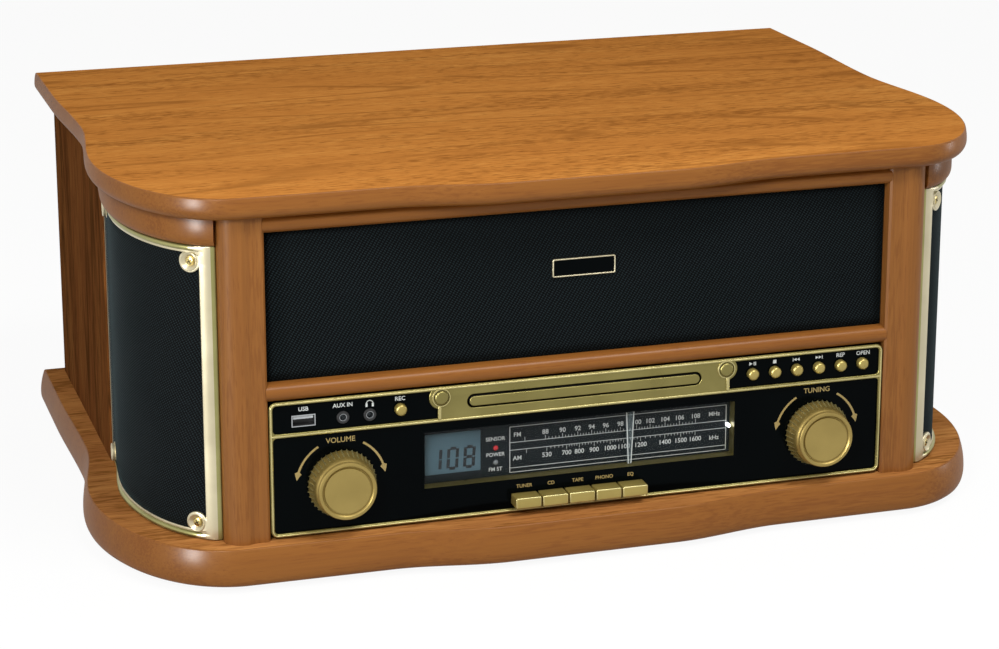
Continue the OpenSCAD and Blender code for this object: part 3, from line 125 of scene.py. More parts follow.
@dataclass(frozen=True)
class Finish:
    """One finish: its common name, its colour and how its surface answers light.

    roughness varies by spread over patches of patch_mm; grit_mm is the size of the fine relief and
    relief its height in millimetres. shader holds other inputs of the surface shader.
    """

    name: str
    colour: str
    shade: str
    roughness: float = 0.4
    spread: float = 0.06
    metallic: float = 0.0
    patch_mm: float = 22.0
    grit_mm: float = 0.5
    relief: float = 0.01
    shader: tuple[tuple[str, Any], ...] = ()

    def coords(self, tree: Tree) -> Socket:
        """Object coordinates in metres."""
        return add(tree, "TexCoord").outputs["Object"]

    def tint(self, tree: Tree, place: Socket) -> Socket:
        """Base colour: two tones mixed by soft cloudy noise of patch_mm."""
        cloud = add(tree, "TexNoise", {"Vector": place, "Scale": 1000 / self.patch_mm, "Detail": 3.0})
        return add(tree, "ValToRGB", {"Fac": cloud.outputs["Fac"]},
                   [(NOISE_LOW, self.shade), (NOISE_HIGH, self.colour)]).outputs["Color"]

    def height(self, tree: Tree, place: Socket) -> Socket:
        """Relief: fine noise with features of grit_mm."""
        return add(tree, "TexNoise", {"Vector": place, "Scale": 1000 / self.grit_mm,
                                      "Detail": 2.0}).outputs["Fac"]

    def material(self) -> bpy.types.Material:
        """Builds the finish once and returns it from then on.

        Returns:
            The Blender material.
        """
        found = bpy.data.materials.get(self.name)
        if found:
            return found
        mat = bpy.data.materials.new(self.name)
        mat.use_nodes = True
        tree = mat.node_tree
        tree.nodes.clear()
        place = self.coords(tree)
        rough = add(tree, "TexNoise", {"Vector": place, "Scale": 500 / self.patch_mm, "Detail": 4.0})
        span = add(tree, "MapRange", {"Value": rough.outputs["Fac"], "From Min": NOISE_LOW,
                                      "From Max": NOISE_HIGH,
                                      "To Min": max(SMOOTHEST, self.roughness - self.spread),
                                      "To Max": self.roughness + self.spread})
        bump = add(tree, "Bump", {"Height": self.height(tree, place), "Strength": 1.0,
                                  "Distance": self.relief * MM})
        inputs = {"Base Color": self.tint(tree, place), "Roughness": span.outputs["Result"],
                  "Metallic": self.metallic, "Normal": bump.outputs["Normal"]}
        body = add(tree, "BsdfPrincipled", inputs | dict(self.shader))
        add(tree, "OutputMaterial", {"Surface": body.outputs["BSDF"]})
        return mat


@dataclass(frozen=True)
class OakVeneer(Finish):
    """Stained oak, veneer or solid: soft figure, fine fibres, open pores and growth lines.

    line is how strongly the growth lines show. Each pair is a pattern's size across and along the
    fibres, in millimetres.
    """

    grain: Grain = Grain.ACROSS
    light: str = "#C98C48"
    pore: str = "#6E4018"
    fibre: tuple[float, float] = (2.0, 38.0)
    pores: tuple[float, float] = (1.7, 15.0)
    line: float = 0.0
    figure: tuple[float, float] = (40.0, 330.0)
    pore_band: tuple[float, float] = (16.0, 260.0)
    growth: tuple[float, float] = (85.0, 620.0)
    growth_fade: tuple[float, float] = (45.0, 150.0)

    def coords(self, tree: Tree) -> Socket:
        """Object coordinates turned so that X runs along the fibres."""
        place = super().coords(tree)
        return add(tree, "Mapping", {"Vector": place, "Rotation": self.grain.value}).outputs["Vector"]

    def stretched(self, tree: Tree, place: Socket, size: tuple[float, float], detail: float) -> Socket:
        """Noise whose features are size[0] mm across the fibres and size[1] mm along them.

        Args:
            tree: The node tree.
            place: Coordinates that the pattern follows.
            size: Millimetres across and along the fibres.
            detail: Number of finer layers.
        Returns:
            Socket from 0 to 1.
        """
        scale = (1000 / size[1], 1000 / size[0], 1000 / size[0])
        laid = add(tree, "Mapping", {"Vector": place, "Scale": scale})
        return add(tree, "TexNoise", {"Vector": laid.outputs["Vector"], "Scale": 1.0, "Detail": detail,
                                      "Roughness": 0.6}).outputs["Fac"]

    def pore_mask(self, tree: Tree, place: Socket) -> Socket:
        """Pore mask: thin dashes where narrow noise is high and the growth bands allow it.

        Args:
            tree: The node tree.
            place: Coordinates that the pattern follows.
        Returns:
            Socket that is 1 in the pores.
        """
        dash = self.stretched(tree, place, self.pores, 2.0)
        band = self.stretched(tree, place, self.pore_band, 2.0)
        mean = add(tree, "Mix", {0: 0.4, 2: dash, 3: band}, data_type="FLOAT")
        return add(tree, "ValToRGB", {"Fac": mean.outputs[0]}, [(0.51, 0.0), (0.6, 1.0)]).outputs["Color"]

    def growth_lines(self, tree: Tree, place: Socket) -> Socket:
        """Growth lines: thin contours of one broad long noise, which come and go along the board.

        Args:
            tree: The node tree.
            place: Coordinates that the pattern follows.
        Returns:
            Socket that is up to line on the growth lines.
        """
        broad = self.stretched(tree, place, self.growth, 1.0)
        many = add(tree, "Math", {0: broad, 1: 10.0}, operation="MULTIPLY").outputs[0]
        fold = add(tree, "Math", {0: many, 1: 0.5}, operation="PINGPONG").outputs[0]
        thin = add(tree, "ValToRGB", {"Fac": fold}, [(0.02, 1.0), (0.11, 0.0)]).outputs["Color"]
        fade = add(tree, "ValToRGB", {"Fac": self.stretched(tree, place, self.growth_fade, 2.0)},
                   [(0.4, 0.0), (0.54, self.line)]).outputs["Color"]
        return add(tree, "Math", {0: thin, 1: fade}, operation="MULTIPLY").outputs[0]

    def tint(self, tree: Tree, place: Socket) -> Socket:
        """Base colour: three stains mixed by figure and fibres, then pores and growth lines.

        Args:
            tree: The node tree.
            place: Coordinates that the pattern follows.
        Returns:
            Colour socket.
        """
        figure = self.stretched(tree, place, self.figure, 3.0)
        fine = self.stretched(tree, place, self.fibre, 3.0)
        both = add(tree, "Mix", {0: 0.55, 2: figure, 3: fine}, data_type="FLOAT")
        base = add(tree, "ValToRGB", {"Fac": both.outputs[0]},
                   [(0.36, self.shade), (0.52, self.colour), (0.68, self.light)]).outputs["Color"]
        marks = add(tree, "Math", {0: self.pore_mask(tree, place), 1: 0.7},
                    operation="MULTIPLY").outputs[0]
        if self.line:
            marks = add(tree, "Math", {0: marks, 1: self.growth_lines(tree, place)},
                        operation="MAXIMUM").outputs[0]
        return add(tree, "Mix", {0: marks, 6: base, 7: linear(self.pore)}, data_type="RGBA").outputs[2]

    def height(self, tree: Tree, place: Socket) -> Socket:
        """Relief: the pores are sunk."""
        return add(tree, "Math", {0: 1.0, 1: self.pore_mask(tree, place)},
                   operation="SUBTRACT").outputs["Value"]


@dataclass(frozen=True)
class TwillCloth(Finish):
    """Woven speaker cloth: fine diagonal ribs, drawn 1.8 mm apart so that they show in the render.

    Each of threads is a slope in degrees and a spacing in millimetres.
    """

    threads: tuple[tuple[float, float], ...] = ((32.0, 1.8), (-58.0, 1.26))

    def coords(self, tree: Tree) -> Socket:
        """The cloth's own UV map, which is in metres along and up the panel."""
        return add(tree, "TexCoord").outputs["UV"]

    def height(self, tree: Tree, place: Socket) -> Socket:
        """Relief: diagonal ribs crossed by finer threads.

        Args:
            tree: The node tree.
            place: Coordinates that the pattern follows.
        Returns:
            Socket that is high on the ribs.
        """
        laid = [add(tree, "Mapping", {"Vector": place, "Rotation": (0.0, 0.0, math.radians(slope))})
                for slope, _ in self.threads]
        waves = [add(tree, "TexWave", {"Vector": way.outputs["Vector"], "Scale": wave_scale(pitch),
                                       "Distortion": 1.2, "Detail": 1.0, "Detail Scale": 2.0},
                     bands_direction="X").outputs["Fac"]
                 for way, (_, pitch) in zip(laid, self.threads)]
        return add(tree, "Math", {0: waves[0], 1: waves[1]}, operation="MULTIPLY").outputs["Value"]

    def tint(self, tree: Tree, place: Socket) -> Socket:
        """Base colour: near-black gaps between the threads as painted shade, and threads lighter as a
        painted highlight where they catch a little light.
        """
        return add(tree, "ValToRGB", {"Fac": self.height(tree, place)},
                   [(0.08, self.shade), (0.62, self.colour)]).outputs["Color"]


@dataclass(frozen=True)
class TurnedMetal(Finish):
    """Metal turned on a lathe: fine rings about an axis through centre_mm."""

    axis: str = "Y"
    centre_mm: tuple[float, float, float] = (0.0, 0.0, 0.0)
    ring_mm: float = 1.2

    def height(self, tree: Tree, place: Socket) -> Socket:
        """Relief: rings about the axis, ring_mm apart.

        Args:
            tree: The node tree.
            place: Coordinates that the pattern follows.
        Returns:
            Socket that is high on the rings.
        """
        centre = [-float(v) for v in row(self.centre_mm)]
        moved = add(tree, "Mapping", {"Vector": place, "Location": centre})
        return add(tree, "TexWave", {"Vector": moved.outputs["Vector"], "Distortion": 0.6, "Detail": 2.0,
                                     "Scale": wave_scale(self.ring_mm)},
                   wave_type="RINGS", rings_direction=self.axis).outputs["Fac"]


MATT = (("Specular IOR Level", 0.0),)
DRY = (("Specular IOR Level", 0.04),)
LACQUER = (("Specular IOR Level", 0.0), ("Coat Weight", 0.34), ("Coat Roughness", 0.3))

# Oak veneer, stained honey brown and wiped dry: open pores, and no shine of its own
VENEER_TOP = OakVeneer("oak_veneer_across", "#BB7937", "#AC6D31", 0.5, shader=MATT, relief=0.03,
                       light="#CB8C45", pore="#7E4B1E", fibre=(1.5, 14.0), pores=(1.4, 9.0), line=0.55)
VENEER_LEDGE = OakVeneer("oak_veneer_ledge", "#A66E3B", "#905C31", 0.5, shader=MATT, relief=0.03,
                         light="#BD8449", pore="#6E4319")
VENEER_SIDE = OakVeneer("oak_veneer_upright", "#784A26", "#62391D", 0.5, grain=Grain.UPRIGHT,
                        shader=MATT, relief=0.03, light="#8A5C30", pore="#33200F", fibre=(1.8, 38.0),
                        pores=(1.4, 22.0), line=0.6)
# Solid edges and posts, stained like the veneer and sprayed with clear lacquer: a broad soft shine
STAINED_EDGE = OakVeneer("stained_solid_wood", "#8C5826", "#845124", 0.3, shader=LACQUER, relief=0.001,
                         light="#935E2A", pore="#7D4A20", fibre=(2.0, 80.0), pores=(1.1, 15.0))
STAINED_UPRIGHT = OakVeneer("stained_solid_post", "#8E5B2B", "#855428", 0.3, shader=LACQUER,
                            relief=0.001, light="#956230", pore="#7E4D23", fibre=(2.0, 80.0),
                            pores=(1.1, 15.0), grain=Grain.UPRIGHT)
# Painted hardboard: black, matt, with the board's grit showing through. It also colours the bars on screw
# heads, as painted shade in their cross recesses
BOARD_AND_SHADE_BLACK = Finish("black_hardboard_and_painted_shade", "#171513", "#0E0D0C", 0.75, grit_mm=0.8, relief=0.05,
                     shader=DRY)
# Polyester cloth on a board: black, with a cold blue-green sheen at a low angle
# Its lighter threads and near-black gaps are a painted highlight and painted shade
CLOTH = TwillCloth("speaker_cloth", "#1E272A", "#030404", 0.8, 0.05, relief=0.12,
                   shader=(("Specular IOR Level", 0.05), ("Sheen Weight", 0.06),
                           ("Sheen Roughness", 0.3), ("Sheen Tint", (0.3, 0.6, 0.65, 1.0))))
# ABS mouldings sprayed with gold lacquer: olive or pale gold with a satin shine
GOLD = Finish("gold_lacquered_abs", "#857C48", "#7A713F", 0.32, 0.05, 0.75, relief=0.003)
# A lighter gold on raised trim ridges, collars, stems, key rims and knob teeth: a painted highlight
HIGHLIGHT_GOLD = Finish("gold_painted_highlight", "#BDB27C", "#ADA26C", 0.26, 0.04, 0.7, relief=0.002)
KEY_GOLD = Finish("gold_key_abs", "#AA9854", "#9D8B4A", 0.3, 0.04, 0.5, relief=0.003)
# A darker gold on the speaker frames' bars and the slope beside the post: painted shade
SHADED_GOLD = Finish("gold_painted_shade", "#9C9862", "#8E8A56", 0.34, 0.05, 0.7, relief=0.003)
PALE_GOLD = Finish("pale_gold_abs", "#C8BFA0", "#BBB193", 0.36, 0.05, 0.65, relief=0.003)
KNOB_GOLD = Finish("knob_gold_abs", "#9E894C", "#927E44", 0.36, 0.04, 0.65, grit_mm=0.35, relief=0.01)
# Cast acrylic and printed film: a deep black front with almost no reflection, slate behind the window
GLOSS_BLACK = Finish("gloss_black_acrylic", "#020506", "#010304", 0.12, 0.03, relief=0.001,
                     patch_mm=60.0, shader=(("Specular IOR Level", 0.03),))
SLATE = Finish("printed_slate_film", "#161E21", "#10171A", 0.4, relief=0.004,
               shader=(("Specular IOR Level", 0.15),))
# Screen-printing inks: flat and slightly matt
PRINT_WHITE = Finish("white_screen_print", "#D8DCDA", "#CCD1CF", 0.5, relief=0.002)
PRINT_GOLD = Finish("gold_screen_print", "#A8925C", "#9A8650", 0.45, 0.05, 0.2, relief=0.002)
# Liquid crystal display: blue-grey glass with dark segments
LCD = Finish("liquid_crystal_glass", "#5C7681", "#4A626D", 0.3, 0.03, grit_mm=0.8, relief=0.002,
             patch_mm=60.0, shader=(("Specular IOR Level", 0.2),))
LCD_INK = Finish("liquid_crystal_segment", "#0C171B", "#081013", 0.3, relief=0.002)
# Clear acrylic sheet: the dial window, and the pointer, which looks a little milky
CLEAR = Finish("clear_acrylic", "#0A0D0E", "#080B0C", 0.04, 0.01, relief=0.0005,
               shader=(("Alpha", 0.06),))
CLEAR_POINTER = Finish("clear_pointer_acrylic", "#8FA0A4", "#83959A", 0.12, 0.02, relief=0.001,
                       shader=(("Alpha", 0.22),))
# Lamp lenses: red and faintly lit, grey and unlit, and the white lamp beside the scale, which is on
RED_LAMP = Finish("red_lens", "#D02A32", "#8E1018", 0.12, shader=(("Emission Color", linear("#FF3038")),
                                                                   ("Emission Strength", 0.06)))
GREY_LAMP = Finish("grey_lens", "#8A9092", "#747A7C", 0.25)
WHITE_LAMP = Finish("white_lamp", "#FFFFFF", "#F2F6FF", 0.3, shader=(
    ("Emission Color", linear("#F4F8FF")), ("Emission Strength", 4.0)))
NYLON = Finish("white_nylon", "#C9CDD0", "#B4B9BD", 0.4, relief=0.003)
# Metals: plated steel parts and screws, a nickel socket shell, brass, and satin aluminium
STEEL = Finish("zinc_plated_steel", "#A4A7A9", "#8D9093", 0.36, 0.08, 1.0, grit_mm=1.2, relief=0.006)
CHROME = Finish("nickel_shell", "#B9BCBE", "#A5A9AB", 0.22, 0.05, 1.0, relief=0.003)
SCREW_BRASS = Finish("brass_plated_screw", "#C9B77C", "#A8945A", 0.28, 0.06, 1.0, relief=0.006)
BRASS = Finish("turned_brass", "#C9A24C", "#B48E40", 0.28, 0.05, 1.0, relief=0.004)
PLATTER_ALLOY = TurnedMetal("turned_alloy", "#B4B7B9", "#A2A5A8", 0.3, 0.04, 1.0, relief=0.004,
                            axis="Z", centre_mm=(-30.0, 169.0, 0.0))
ARM_METAL = Finish("satin_arm_tube", "#AFB1B3", "#9EA1A3", 0.28, 0.05, 1.0, relief=0.003)
# Black plastics, rubber and paint: from satin to fully matt
# The black ABS also darkens the floor and back of the USB shell, as painted shade
BLACK_ABS_AND_SHADE = Finish("moulded_black_abs_and_painted_shade", "#141415", "#0C0C0D", 0.45, 0.08, grit_mm=0.4, relief=0.02)
RUBBER = Finish("black_rubber", "#101010", "#0A0A0A", 0.8, relief=0.03)
DECK_BLACK = Finish("sprayed_deck_black", "#131414", "#0D0E0E", 0.5, grit_mm=0.7, relief=0.05)
# Pieces inside: circuit boards, the transformer's core and the loudspeaker cones
CIRCUIT = Finish("green_circuit_board", "#1F5A36", "#174628", 0.35, patch_mm=9.0, relief=0.01)
CORE = Finish("laminated_core", "#6A6259", "#4C463F", 0.5, 0.1, 0.6, relief=0.03)
CONE_PAPER = Finish("pressed_cone_paper", "#1D1D1F", "#121213", 0.8, grit_mm=0.9, relief=0.06)


def grid_faces(rows: int, cols: int, wrap: bool = False) -> Array:
    """Quads over a grid of points stored row by row.

    Args:
        rows: Number of rows.
        cols: Number of columns.
        wrap: Joins the last column to the first.
    Returns:
        Array of quads, four point numbers each.
    """
    r, c = np.meshgrid(np.arange(rows - 1), np.arange(cols if wrap else cols - 1), indexing="ij")
    c2 = (c + 1) % cols
    return np.stack([r * cols + c, r * cols + c2, (r + 1) * cols + c2, (r + 1) * cols + c],
                    -1).reshape(-1, 4)


def prism_faces(rows: int, cols: int) -> list[list[int]]:
    """Quads along a prism of rows sections with cols points each, and a cap on both ends."""
    last = (rows - 1) * cols
    return grid_faces(rows, cols, True).tolist() + [list(range(cols)), list(range(last, last + cols))]


def finish_mesh(obj: Piece, finishes: Sequence[Finish], body: str, crease: float) -> None:
    """Welds doubled points, turns the faces outward, smooths up to the crease angle, dresses, rides.

    Args:
        obj: The mesh object.
        finishes: Its finishes, in the order of its face indices.
        body: CAD body that it rides on.
        crease: Angle in degrees above which an edge stays sharp.
    """
    bm = bmesh.new()
    bm.from_mesh(obj.data)
    bmesh.ops.remove_doubles(bm, verts=bm.verts, dist=WELD * MM)
    bmesh.ops.recalc_face_normals(bm, faces=bm.faces)
    bm.to_mesh(obj.data)
    bm.free()
    for one in finishes:
        obj.data.materials.append(one.material())
    obj.data.shade_smooth()
    obj.data.set_sharp_from_angle(angle=math.radians(crease))
    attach(obj, body)
    log.info("%s: %d faces on %s", obj.name, len(obj.data.polygons), body)


def build(name: str, points: Array, faces: Iterable[Sequence[int]], finish: Finish | Sequence[Finish],
          body: str = "cabinet", crease: float = 40.0, which: Array | None = None,
          uv: Array | None = None) -> Piece:
    """Makes one piece from points and faces.

    Args:
        name: Name of the piece.
        points: Cabinet millimetres, one row each.
        faces: Point numbers of each face.
        finish: One finish, or several when which is given.
        body: CAD body that it rides on.
        crease: Angle in degrees above which an edge stays sharp.
        which: Finish number of each face.
        uv: UV place of each point, in metres.
    Returns:
        The new object, at the origin.
    """
    mesh = bpy.data.meshes.new(name)
    mesh.from_pydata(row(points).reshape(-1, 3).tolist(), [], [list(map(int, f)) for f in faces])
    if which is not None:
        mesh.polygons.foreach_set("material_index", np.asarray(which, dtype=np.int32))
    if uv is not None:
        corner = np.empty(len(mesh.loops), dtype=np.int32)
        mesh.loops.foreach_get("vertex_index", corner)
        mesh.uv_layers.new(name="UVMap").data.foreach_set("uv", uv.reshape(-1, 2)[corner].ravel())
    obj = bpy.data.objects.new(name, mesh)
    bpy.context.scene.collection.objects.link(obj)
    finish_mesh(obj, [finish] if isinstance(finish, Finish) else finish, body, crease)
    return obj


def joined(parts: Sequence[Part]) -> Part:
    """Puts several point-and-face sets into one.

    Args:
        parts: Pairs of points and faces.
    Returns:
        All points and all faces, renumbered.
    """
    points, faces, start = [], [], 0
    for pts, fcs in parts:
        flat = np.asarray(pts, dtype=float).reshape(-1, 3)
        points.append(flat)
        faces += [[int(i) + start for i in f] for f in fcs]
        start += len(flat)
    return np.concatenate(points), faces


def face_spans(points: Array, faces: Sequence[Sequence[int]]) -> tuple[Array, Array, Array]:
    """Mean, lowest and highest corner of each face.

    Args:
        points: All points.
        faces: Point numbers of each face.
    Returns:
        Three arrays with one row for each face.
    """
    count = np.array([len(f) for f in faces])
    start = np.concatenate([[0], np.cumsum(count)[:-1]])
    at = points[np.concatenate([np.asarray(f, dtype=int) for f in faces])]
    return (np.add.reduceat(at, start) / count[:, None], np.minimum.reduceat(at, start),
            np.maximum.reduceat(at, start))


def turned(profile: Array, centre: Array, axis: Array, side: Array, steps: int) -> Part:
    """Surface of revolution: place = centre + axis * h + r * (side * cos a + (axis x side) * sin a).

    Args:
        profile: Rows of radius r and height h along the axis, from pole to pole.
        centre: Point on the axis.
        axis: Unit vector along the axis.
        side: Unit vector square to it.
        steps: Number of steps round.
    Returns:
        Points and quads; poles close when welded.
    """
    profile, axis, side = (np.asarray(v, dtype=float) for v in (profile, axis, side))
    turn = np.linspace(0.0, 2 * np.pi, steps, endpoint=False)
    ring = np.cos(turn)[:, None] * side + np.sin(turn)[:, None] * np.cross(axis, side)
    points = (np.asarray(centre, dtype=float) + profile[:, None, 1:] * axis
              + profile[:, None, :1] * ring[None])
    return points, grid_faces(len(profile), steps, True)


def lathe_y(profile: Sequence[Sequence[float]], x: float, z: float, steps: int = 48) -> Part:
    """Turned surface about a line along Y at (x, z); profile rows are radius and cabinet y."""
    return turned(profile, (x, 0, z), (0, 1, 0), (1, 0, 0), steps)


def boxes(spans: Array) -> Part:
    """Many boxes at once.

    Args:
        spans: Rows of x0, x1, y0, y1, z0, z1.
    Returns:
        Points and quads: eight corners for each row, and its six sides.
    """
    spans = np.asarray(spans, dtype=float).reshape(-1, 6)
    pick = np.array([[i, 2 + j, 4 + k] for i in (0, 1) for j in (0, 1) for k in (0, 1)])
    side = np.array([[0, 1, 3, 2], [4, 6, 7, 5], [0, 4, 5, 1], [2, 3, 7, 6], [0, 2, 6, 4], [1, 5, 7, 3]])
    faces = side[None] + 8 * np.arange(len(spans))[:, None, None]
    return spans[:, pick].reshape(-1, 3), faces.reshape(-1, 4)


def circle(x: float, z: float, radius: Any, turn: Array) -> Array:
    """Points at the angles turn on a circle round (x, z), as rows of x, z."""
    return np.stack([x + radius * np.cos(turn), z + radius * np.sin(turn)], -1)


def round_loop(box: Sequence[float], radius: float, steps: int = 6, inset: float = 0.0) -> Array:
    """Rectangle whose corners are quarter circles.

    Args:
        box: Lowest and highest x, then lowest and highest z.
        radius: Radius of the corners.
        steps: Points on each corner.
        inset: Distance by which each side moves in.
    Returns:
        Closed outline as rows of x, z, from the right end round the top.
    """
    x0, x1, z0, z1 = (side + way * inset for side, way in zip(box, (1, -1, 1, -1)))
    turn = np.linspace(0, np.pi / 2, steps)
    middles = ((x1 - radius, z1 - radius), (x0 + radius, z1 - radius),
               (x0 + radius, z0 + radius), (x1 - radius, z0 + radius))
    return np.concatenate([circle(x, z, radius, turn + k * np.pi / 2)
                           for k, (x, z) in enumerate(middles)])


def dense(loop: Array, step: float) -> Array:
    """Closed outline with points added so that none are further apart than step.

    Args:
        loop: Closed outline, one point in each row.
        step: Longest distance left between two points.
    Returns:
        The outline with more points.
    """
    loop = np.asarray(loop, dtype=float)
    nxt = np.roll(loop, -1, axis=0)
    count = np.maximum(1, np.ceil(np.linalg.norm(nxt - loop, axis=1) / step).astype(int))
    return np.concatenate([a + (b - a) * np.linspace(0, 1, n, endpoint=False)[:, None]
                           for a, b, n in zip(loop, nxt, count)])


def plate(loops: Sequence[Array], thickness: float, edge: float,
          cuts: Sequence[tuple[int, float]] = ()) -> Part:
    """Flat plate with holes and rounded edges, from Blender's own filled curve.

    Args:
        loops: Outline first, then holes, as rows of two coordinates in millimetres.
        thickness: Thickness in millimetres.
        edge: Radius of the rounded edges.
        cuts: Coordinate number and place of each line where faces are parted, so that it can be bent.
    Returns:
        Points as u, v, height from 0 to thickness, and faces.
    """
    curve = bpy.data.curves.new("plate", "CURVE")
    curve.dimensions = "2D"
    curve.fill_mode = "BOTH"
    curve.extrude = thickness / 2 - edge
    curve.bevel_depth = edge
    curve.bevel_resolution = 2
    curve.offset = -edge
    for loop in loops:
        spline = curve.splines.new("POLY")
        spline.points.add(len(loop) - 1)
        spline.points.foreach_set("co", np.hstack([loop, np.zeros((len(loop), 1)),
                                                   np.ones((len(loop), 1))]).ravel())
        spline.use_cyclic_u = True
    return curve_mesh(curve, thickness / 2, cuts)


def curve_mesh(curve: bpy.types.Curve, lift: float, cuts: Sequence[tuple[int, float]] = ()) -> Part:
    """Turns a curve or text into points and faces, and removes it.

    Args:
        curve: The curve or text.
        lift: Height added to every point.
        cuts: Coordinate number and place of each line where faces are parted.
    Returns:
        Points and faces.
    """
    obj = bpy.data.objects.new("outline", curve)
    bpy.context.scene.collection.objects.link(obj)
    mesh = bpy.data.meshes.new_from_object(obj.evaluated_get(bpy.context.evaluated_depsgraph_get()))
    bm = bmesh.new()
    bm.from_mesh(mesh)
    for axis, place in cuts:
        normal = [1.0 if k == axis else 0.0 for k in range(3)]
        bmesh.ops.bisect_plane(bm, geom=bm.verts[:] + bm.edges[:] + bm.faces[:],
                               plane_co=[place * n for n in normal], plane_no=normal)
    bm.to_mesh(mesh)
    bm.free()
    points = np.empty(len(mesh.vertices) * 3)
    mesh.vertices.foreach_get("co", points)
    faces = [list(p.vertices) for p in mesh.polygons]
    bpy.data.objects.remove(obj)
    bpy.data.meshes.remove(mesh)
    return points.reshape(-1, 3) + (0, 0, lift), faces


def front_plate(loops: Sequence[Array], y_front: float, y_back: float, edge: float) -> Part:
    """Plate that faces the front: outlines are x, z, and its thickness runs from y_back to y_front."""
    points, faces = plate(loops, y_back - y_front, edge)
    return np.stack([points[:, 0], y_back - points[:, 2], points[:, 1]], 1), faces


def wording(text: str, size: float, x: float, z: float, y: float) -> Part:
    """Printed words or numbers that face the front, centred on (x, z).

    Args:
        text: Generic words or numbers.
        size: Height of a line in millimetres.
        x: Middle of the words.
        z: Middle of the letters.
        y: Depth of the printed face.
    Returns:
        Points and faces.
    """
    curve = bpy.data.curves.new("print", "FONT")
    curve.body = text
    curve.size = size
    curve.align_x = "CENTER"
    curve.align_y = "CENTER"
    curve.resolution_u = 3
    curve.offset = 0.014 * size  # makes the strokes a little bolder
    curve.extrude = INK / 2
    points, faces = curve_mesh(curve, 0.0)
    return np.stack([points[:, 0] + x, y - points[:, 2], points[:, 1] + z], 1), faces


def ease(u: Array) -> Array:
    """Smooth step from 0 to 1: half a cosine wave."""
    return (1 - np.cos(np.pi * np.clip(u, 0, 1))) / 2


def mirrored(part: Part) -> Part:
    """The same part with left and right changed over."""
    return np.asarray(part[0]) * (-1, 1, 1), part[1]


def stands_for(piece: Piece, node: str) -> None:
    """Shows a piece in place of a CAD node by hiding the node."""
    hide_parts(node)


@dataclass
class Board:
    """Plinth or lid: a thick board with a swelling edge round a curved plan.

    The edge swells furthest at the share belly of its height. Below, it draws in by under, and above,
    it falls back by the share recede of swell. crisp is the radius that eases its upper corner.
    """

    name: str
    node: str
    body: str
    z: float
    thickness: float
    swell: float
    under: float
    belly: float
    half_rear: float
    half_waist: float
    half_bulge: float
    corner_deep: float
    bow: float
    rear: float
    face: Finish
    recede: float
    crisp: float
    crisp_share: float = 0.8
    corner: tuple[float, float] = (193.3, 95.0)
    waist: tuple[float, float] = (181.0, 276.0)
    bow_from: float = 115.0
    bow_to: float = 48.0
    fall: float = 0.6

    def half_width(self, y: Array) -> Array:
        """Half width behind the corner: two smooth steps, out to the rear and out to the corner.

        Args:
            y: Cabinet y of each point.
        Returns:
            Half width at each y.
        """
        back = self.half_waist + (self.half_rear - self.half_waist) * ease(
            (y - self.waist[0]) / (self.waist[1] - self.waist[0]))
        fore = self.half_waist + (self.half_bulge - self.half_waist) * ease(
            (self.waist[0] - y) / (self.waist[0] - self.corner[1]))
        return np.where(y > self.waist[0], back, fore)

    def outline(self) -> Array:
        """Plan: sides by half_width, a quarter ellipse at the corner, then the bow of the front.

        Returns:
            Rows of x, y, from the right rear corner round the front to the left rear corner.
        """
        y = np.linspace(self.rear, self.corner[1], 72, endpoint=False)
        a = np.linspace(0, np.pi / 2, 44)
        u = np.linspace(0, 1, 30)
        front = self.corner[1] - self.corner_deep
        half = np.concatenate([
            np.stack([self.half_width(y), y], 1),
            np.stack([self.corner[0] + (self.half_bulge - self.corner[0]) * np.cos(a),
                      self.corner[1] - self.corner_deep * np.sin(a)], 1),
            np.stack([self.bow_from + (self.bow_to - self.bow_from) * u,
                      front - self.fall - (self.bow - self.fall) * ease(u)], 1)])
        return np.concatenate([half, half[::-1] * (-1, 1)])

    def edge(self, u: Array) -> Array:
        """Swell at height u from 0 to 1: a parabola above the belly and a quarter ellipse below.

        An arc of radius crisp, taken at the share crisp_share, eases the upper corner.

        Args:
            u: Share of the board's height.
        Returns:
            Distance that the edge stands out from the plan.
        """
        over = self.swell * (1 - self.recede * ((u - self.belly) / (1 - self.belly)) ** 2)
        dip = 1 - np.sqrt(np.clip(1 - ((self.belly - u) / self.belly) ** 2, 0, 1))
        r = self.crisp
        soft = np.clip(u * self.thickness - (self.thickness - r), 0, r)
        return (np.where(u > self.belly, over, self.swell - self.under * dip)
                - (r - np.sqrt(r * r - soft ** 2)) * self.crisp_share)

    def make(self) -> None:
        """Builds the board as rings of its outline, pushed out along its normals by edge().

        The rings lie closer together at the upper corner.
        """
        plan = self.outline()
        n = len(plan)
        run = np.roll(plan, -1, axis=0) - np.roll(plan, 1, axis=0)
        normal = np.stack([-run[:, 1], run[:, 0]], 1) / np.linalg.norm(run, axis=1)[:, None]
        normal *= np.sign((normal * (plan - plan.mean(0))).sum(1))[:, None]
        normal[[0, -1]] = [[1, 0], [-1, 0]]
        u = np.concatenate([np.linspace(0, 0.9, 20), np.linspace(0.92, 1, 7)])
        ring = plan[None] + self.edge(u)[:, None, None] * normal[None]
        height = np.broadcast_to((self.z + self.thickness * u)[:, None, None], ring.shape[:2] + (1,))
        walls = grid_faces(len(u), n, True)
        i = np.arange(n // 2 - 1)
        floor = np.stack([i, i + 1, n - 2 - i, n - 1 - i], 1)
        caps = np.concatenate([floor, floor + (len(u) - 1) * n])
        made = build(self.name, np.concatenate([ring, height], 2), np.concatenate([walls, caps]),
                     (STAINED_EDGE, self.face), self.body, 38.0,
                     np.repeat([0, 1], [len(walls), len(caps)]))
        stands_for(made, self.node)


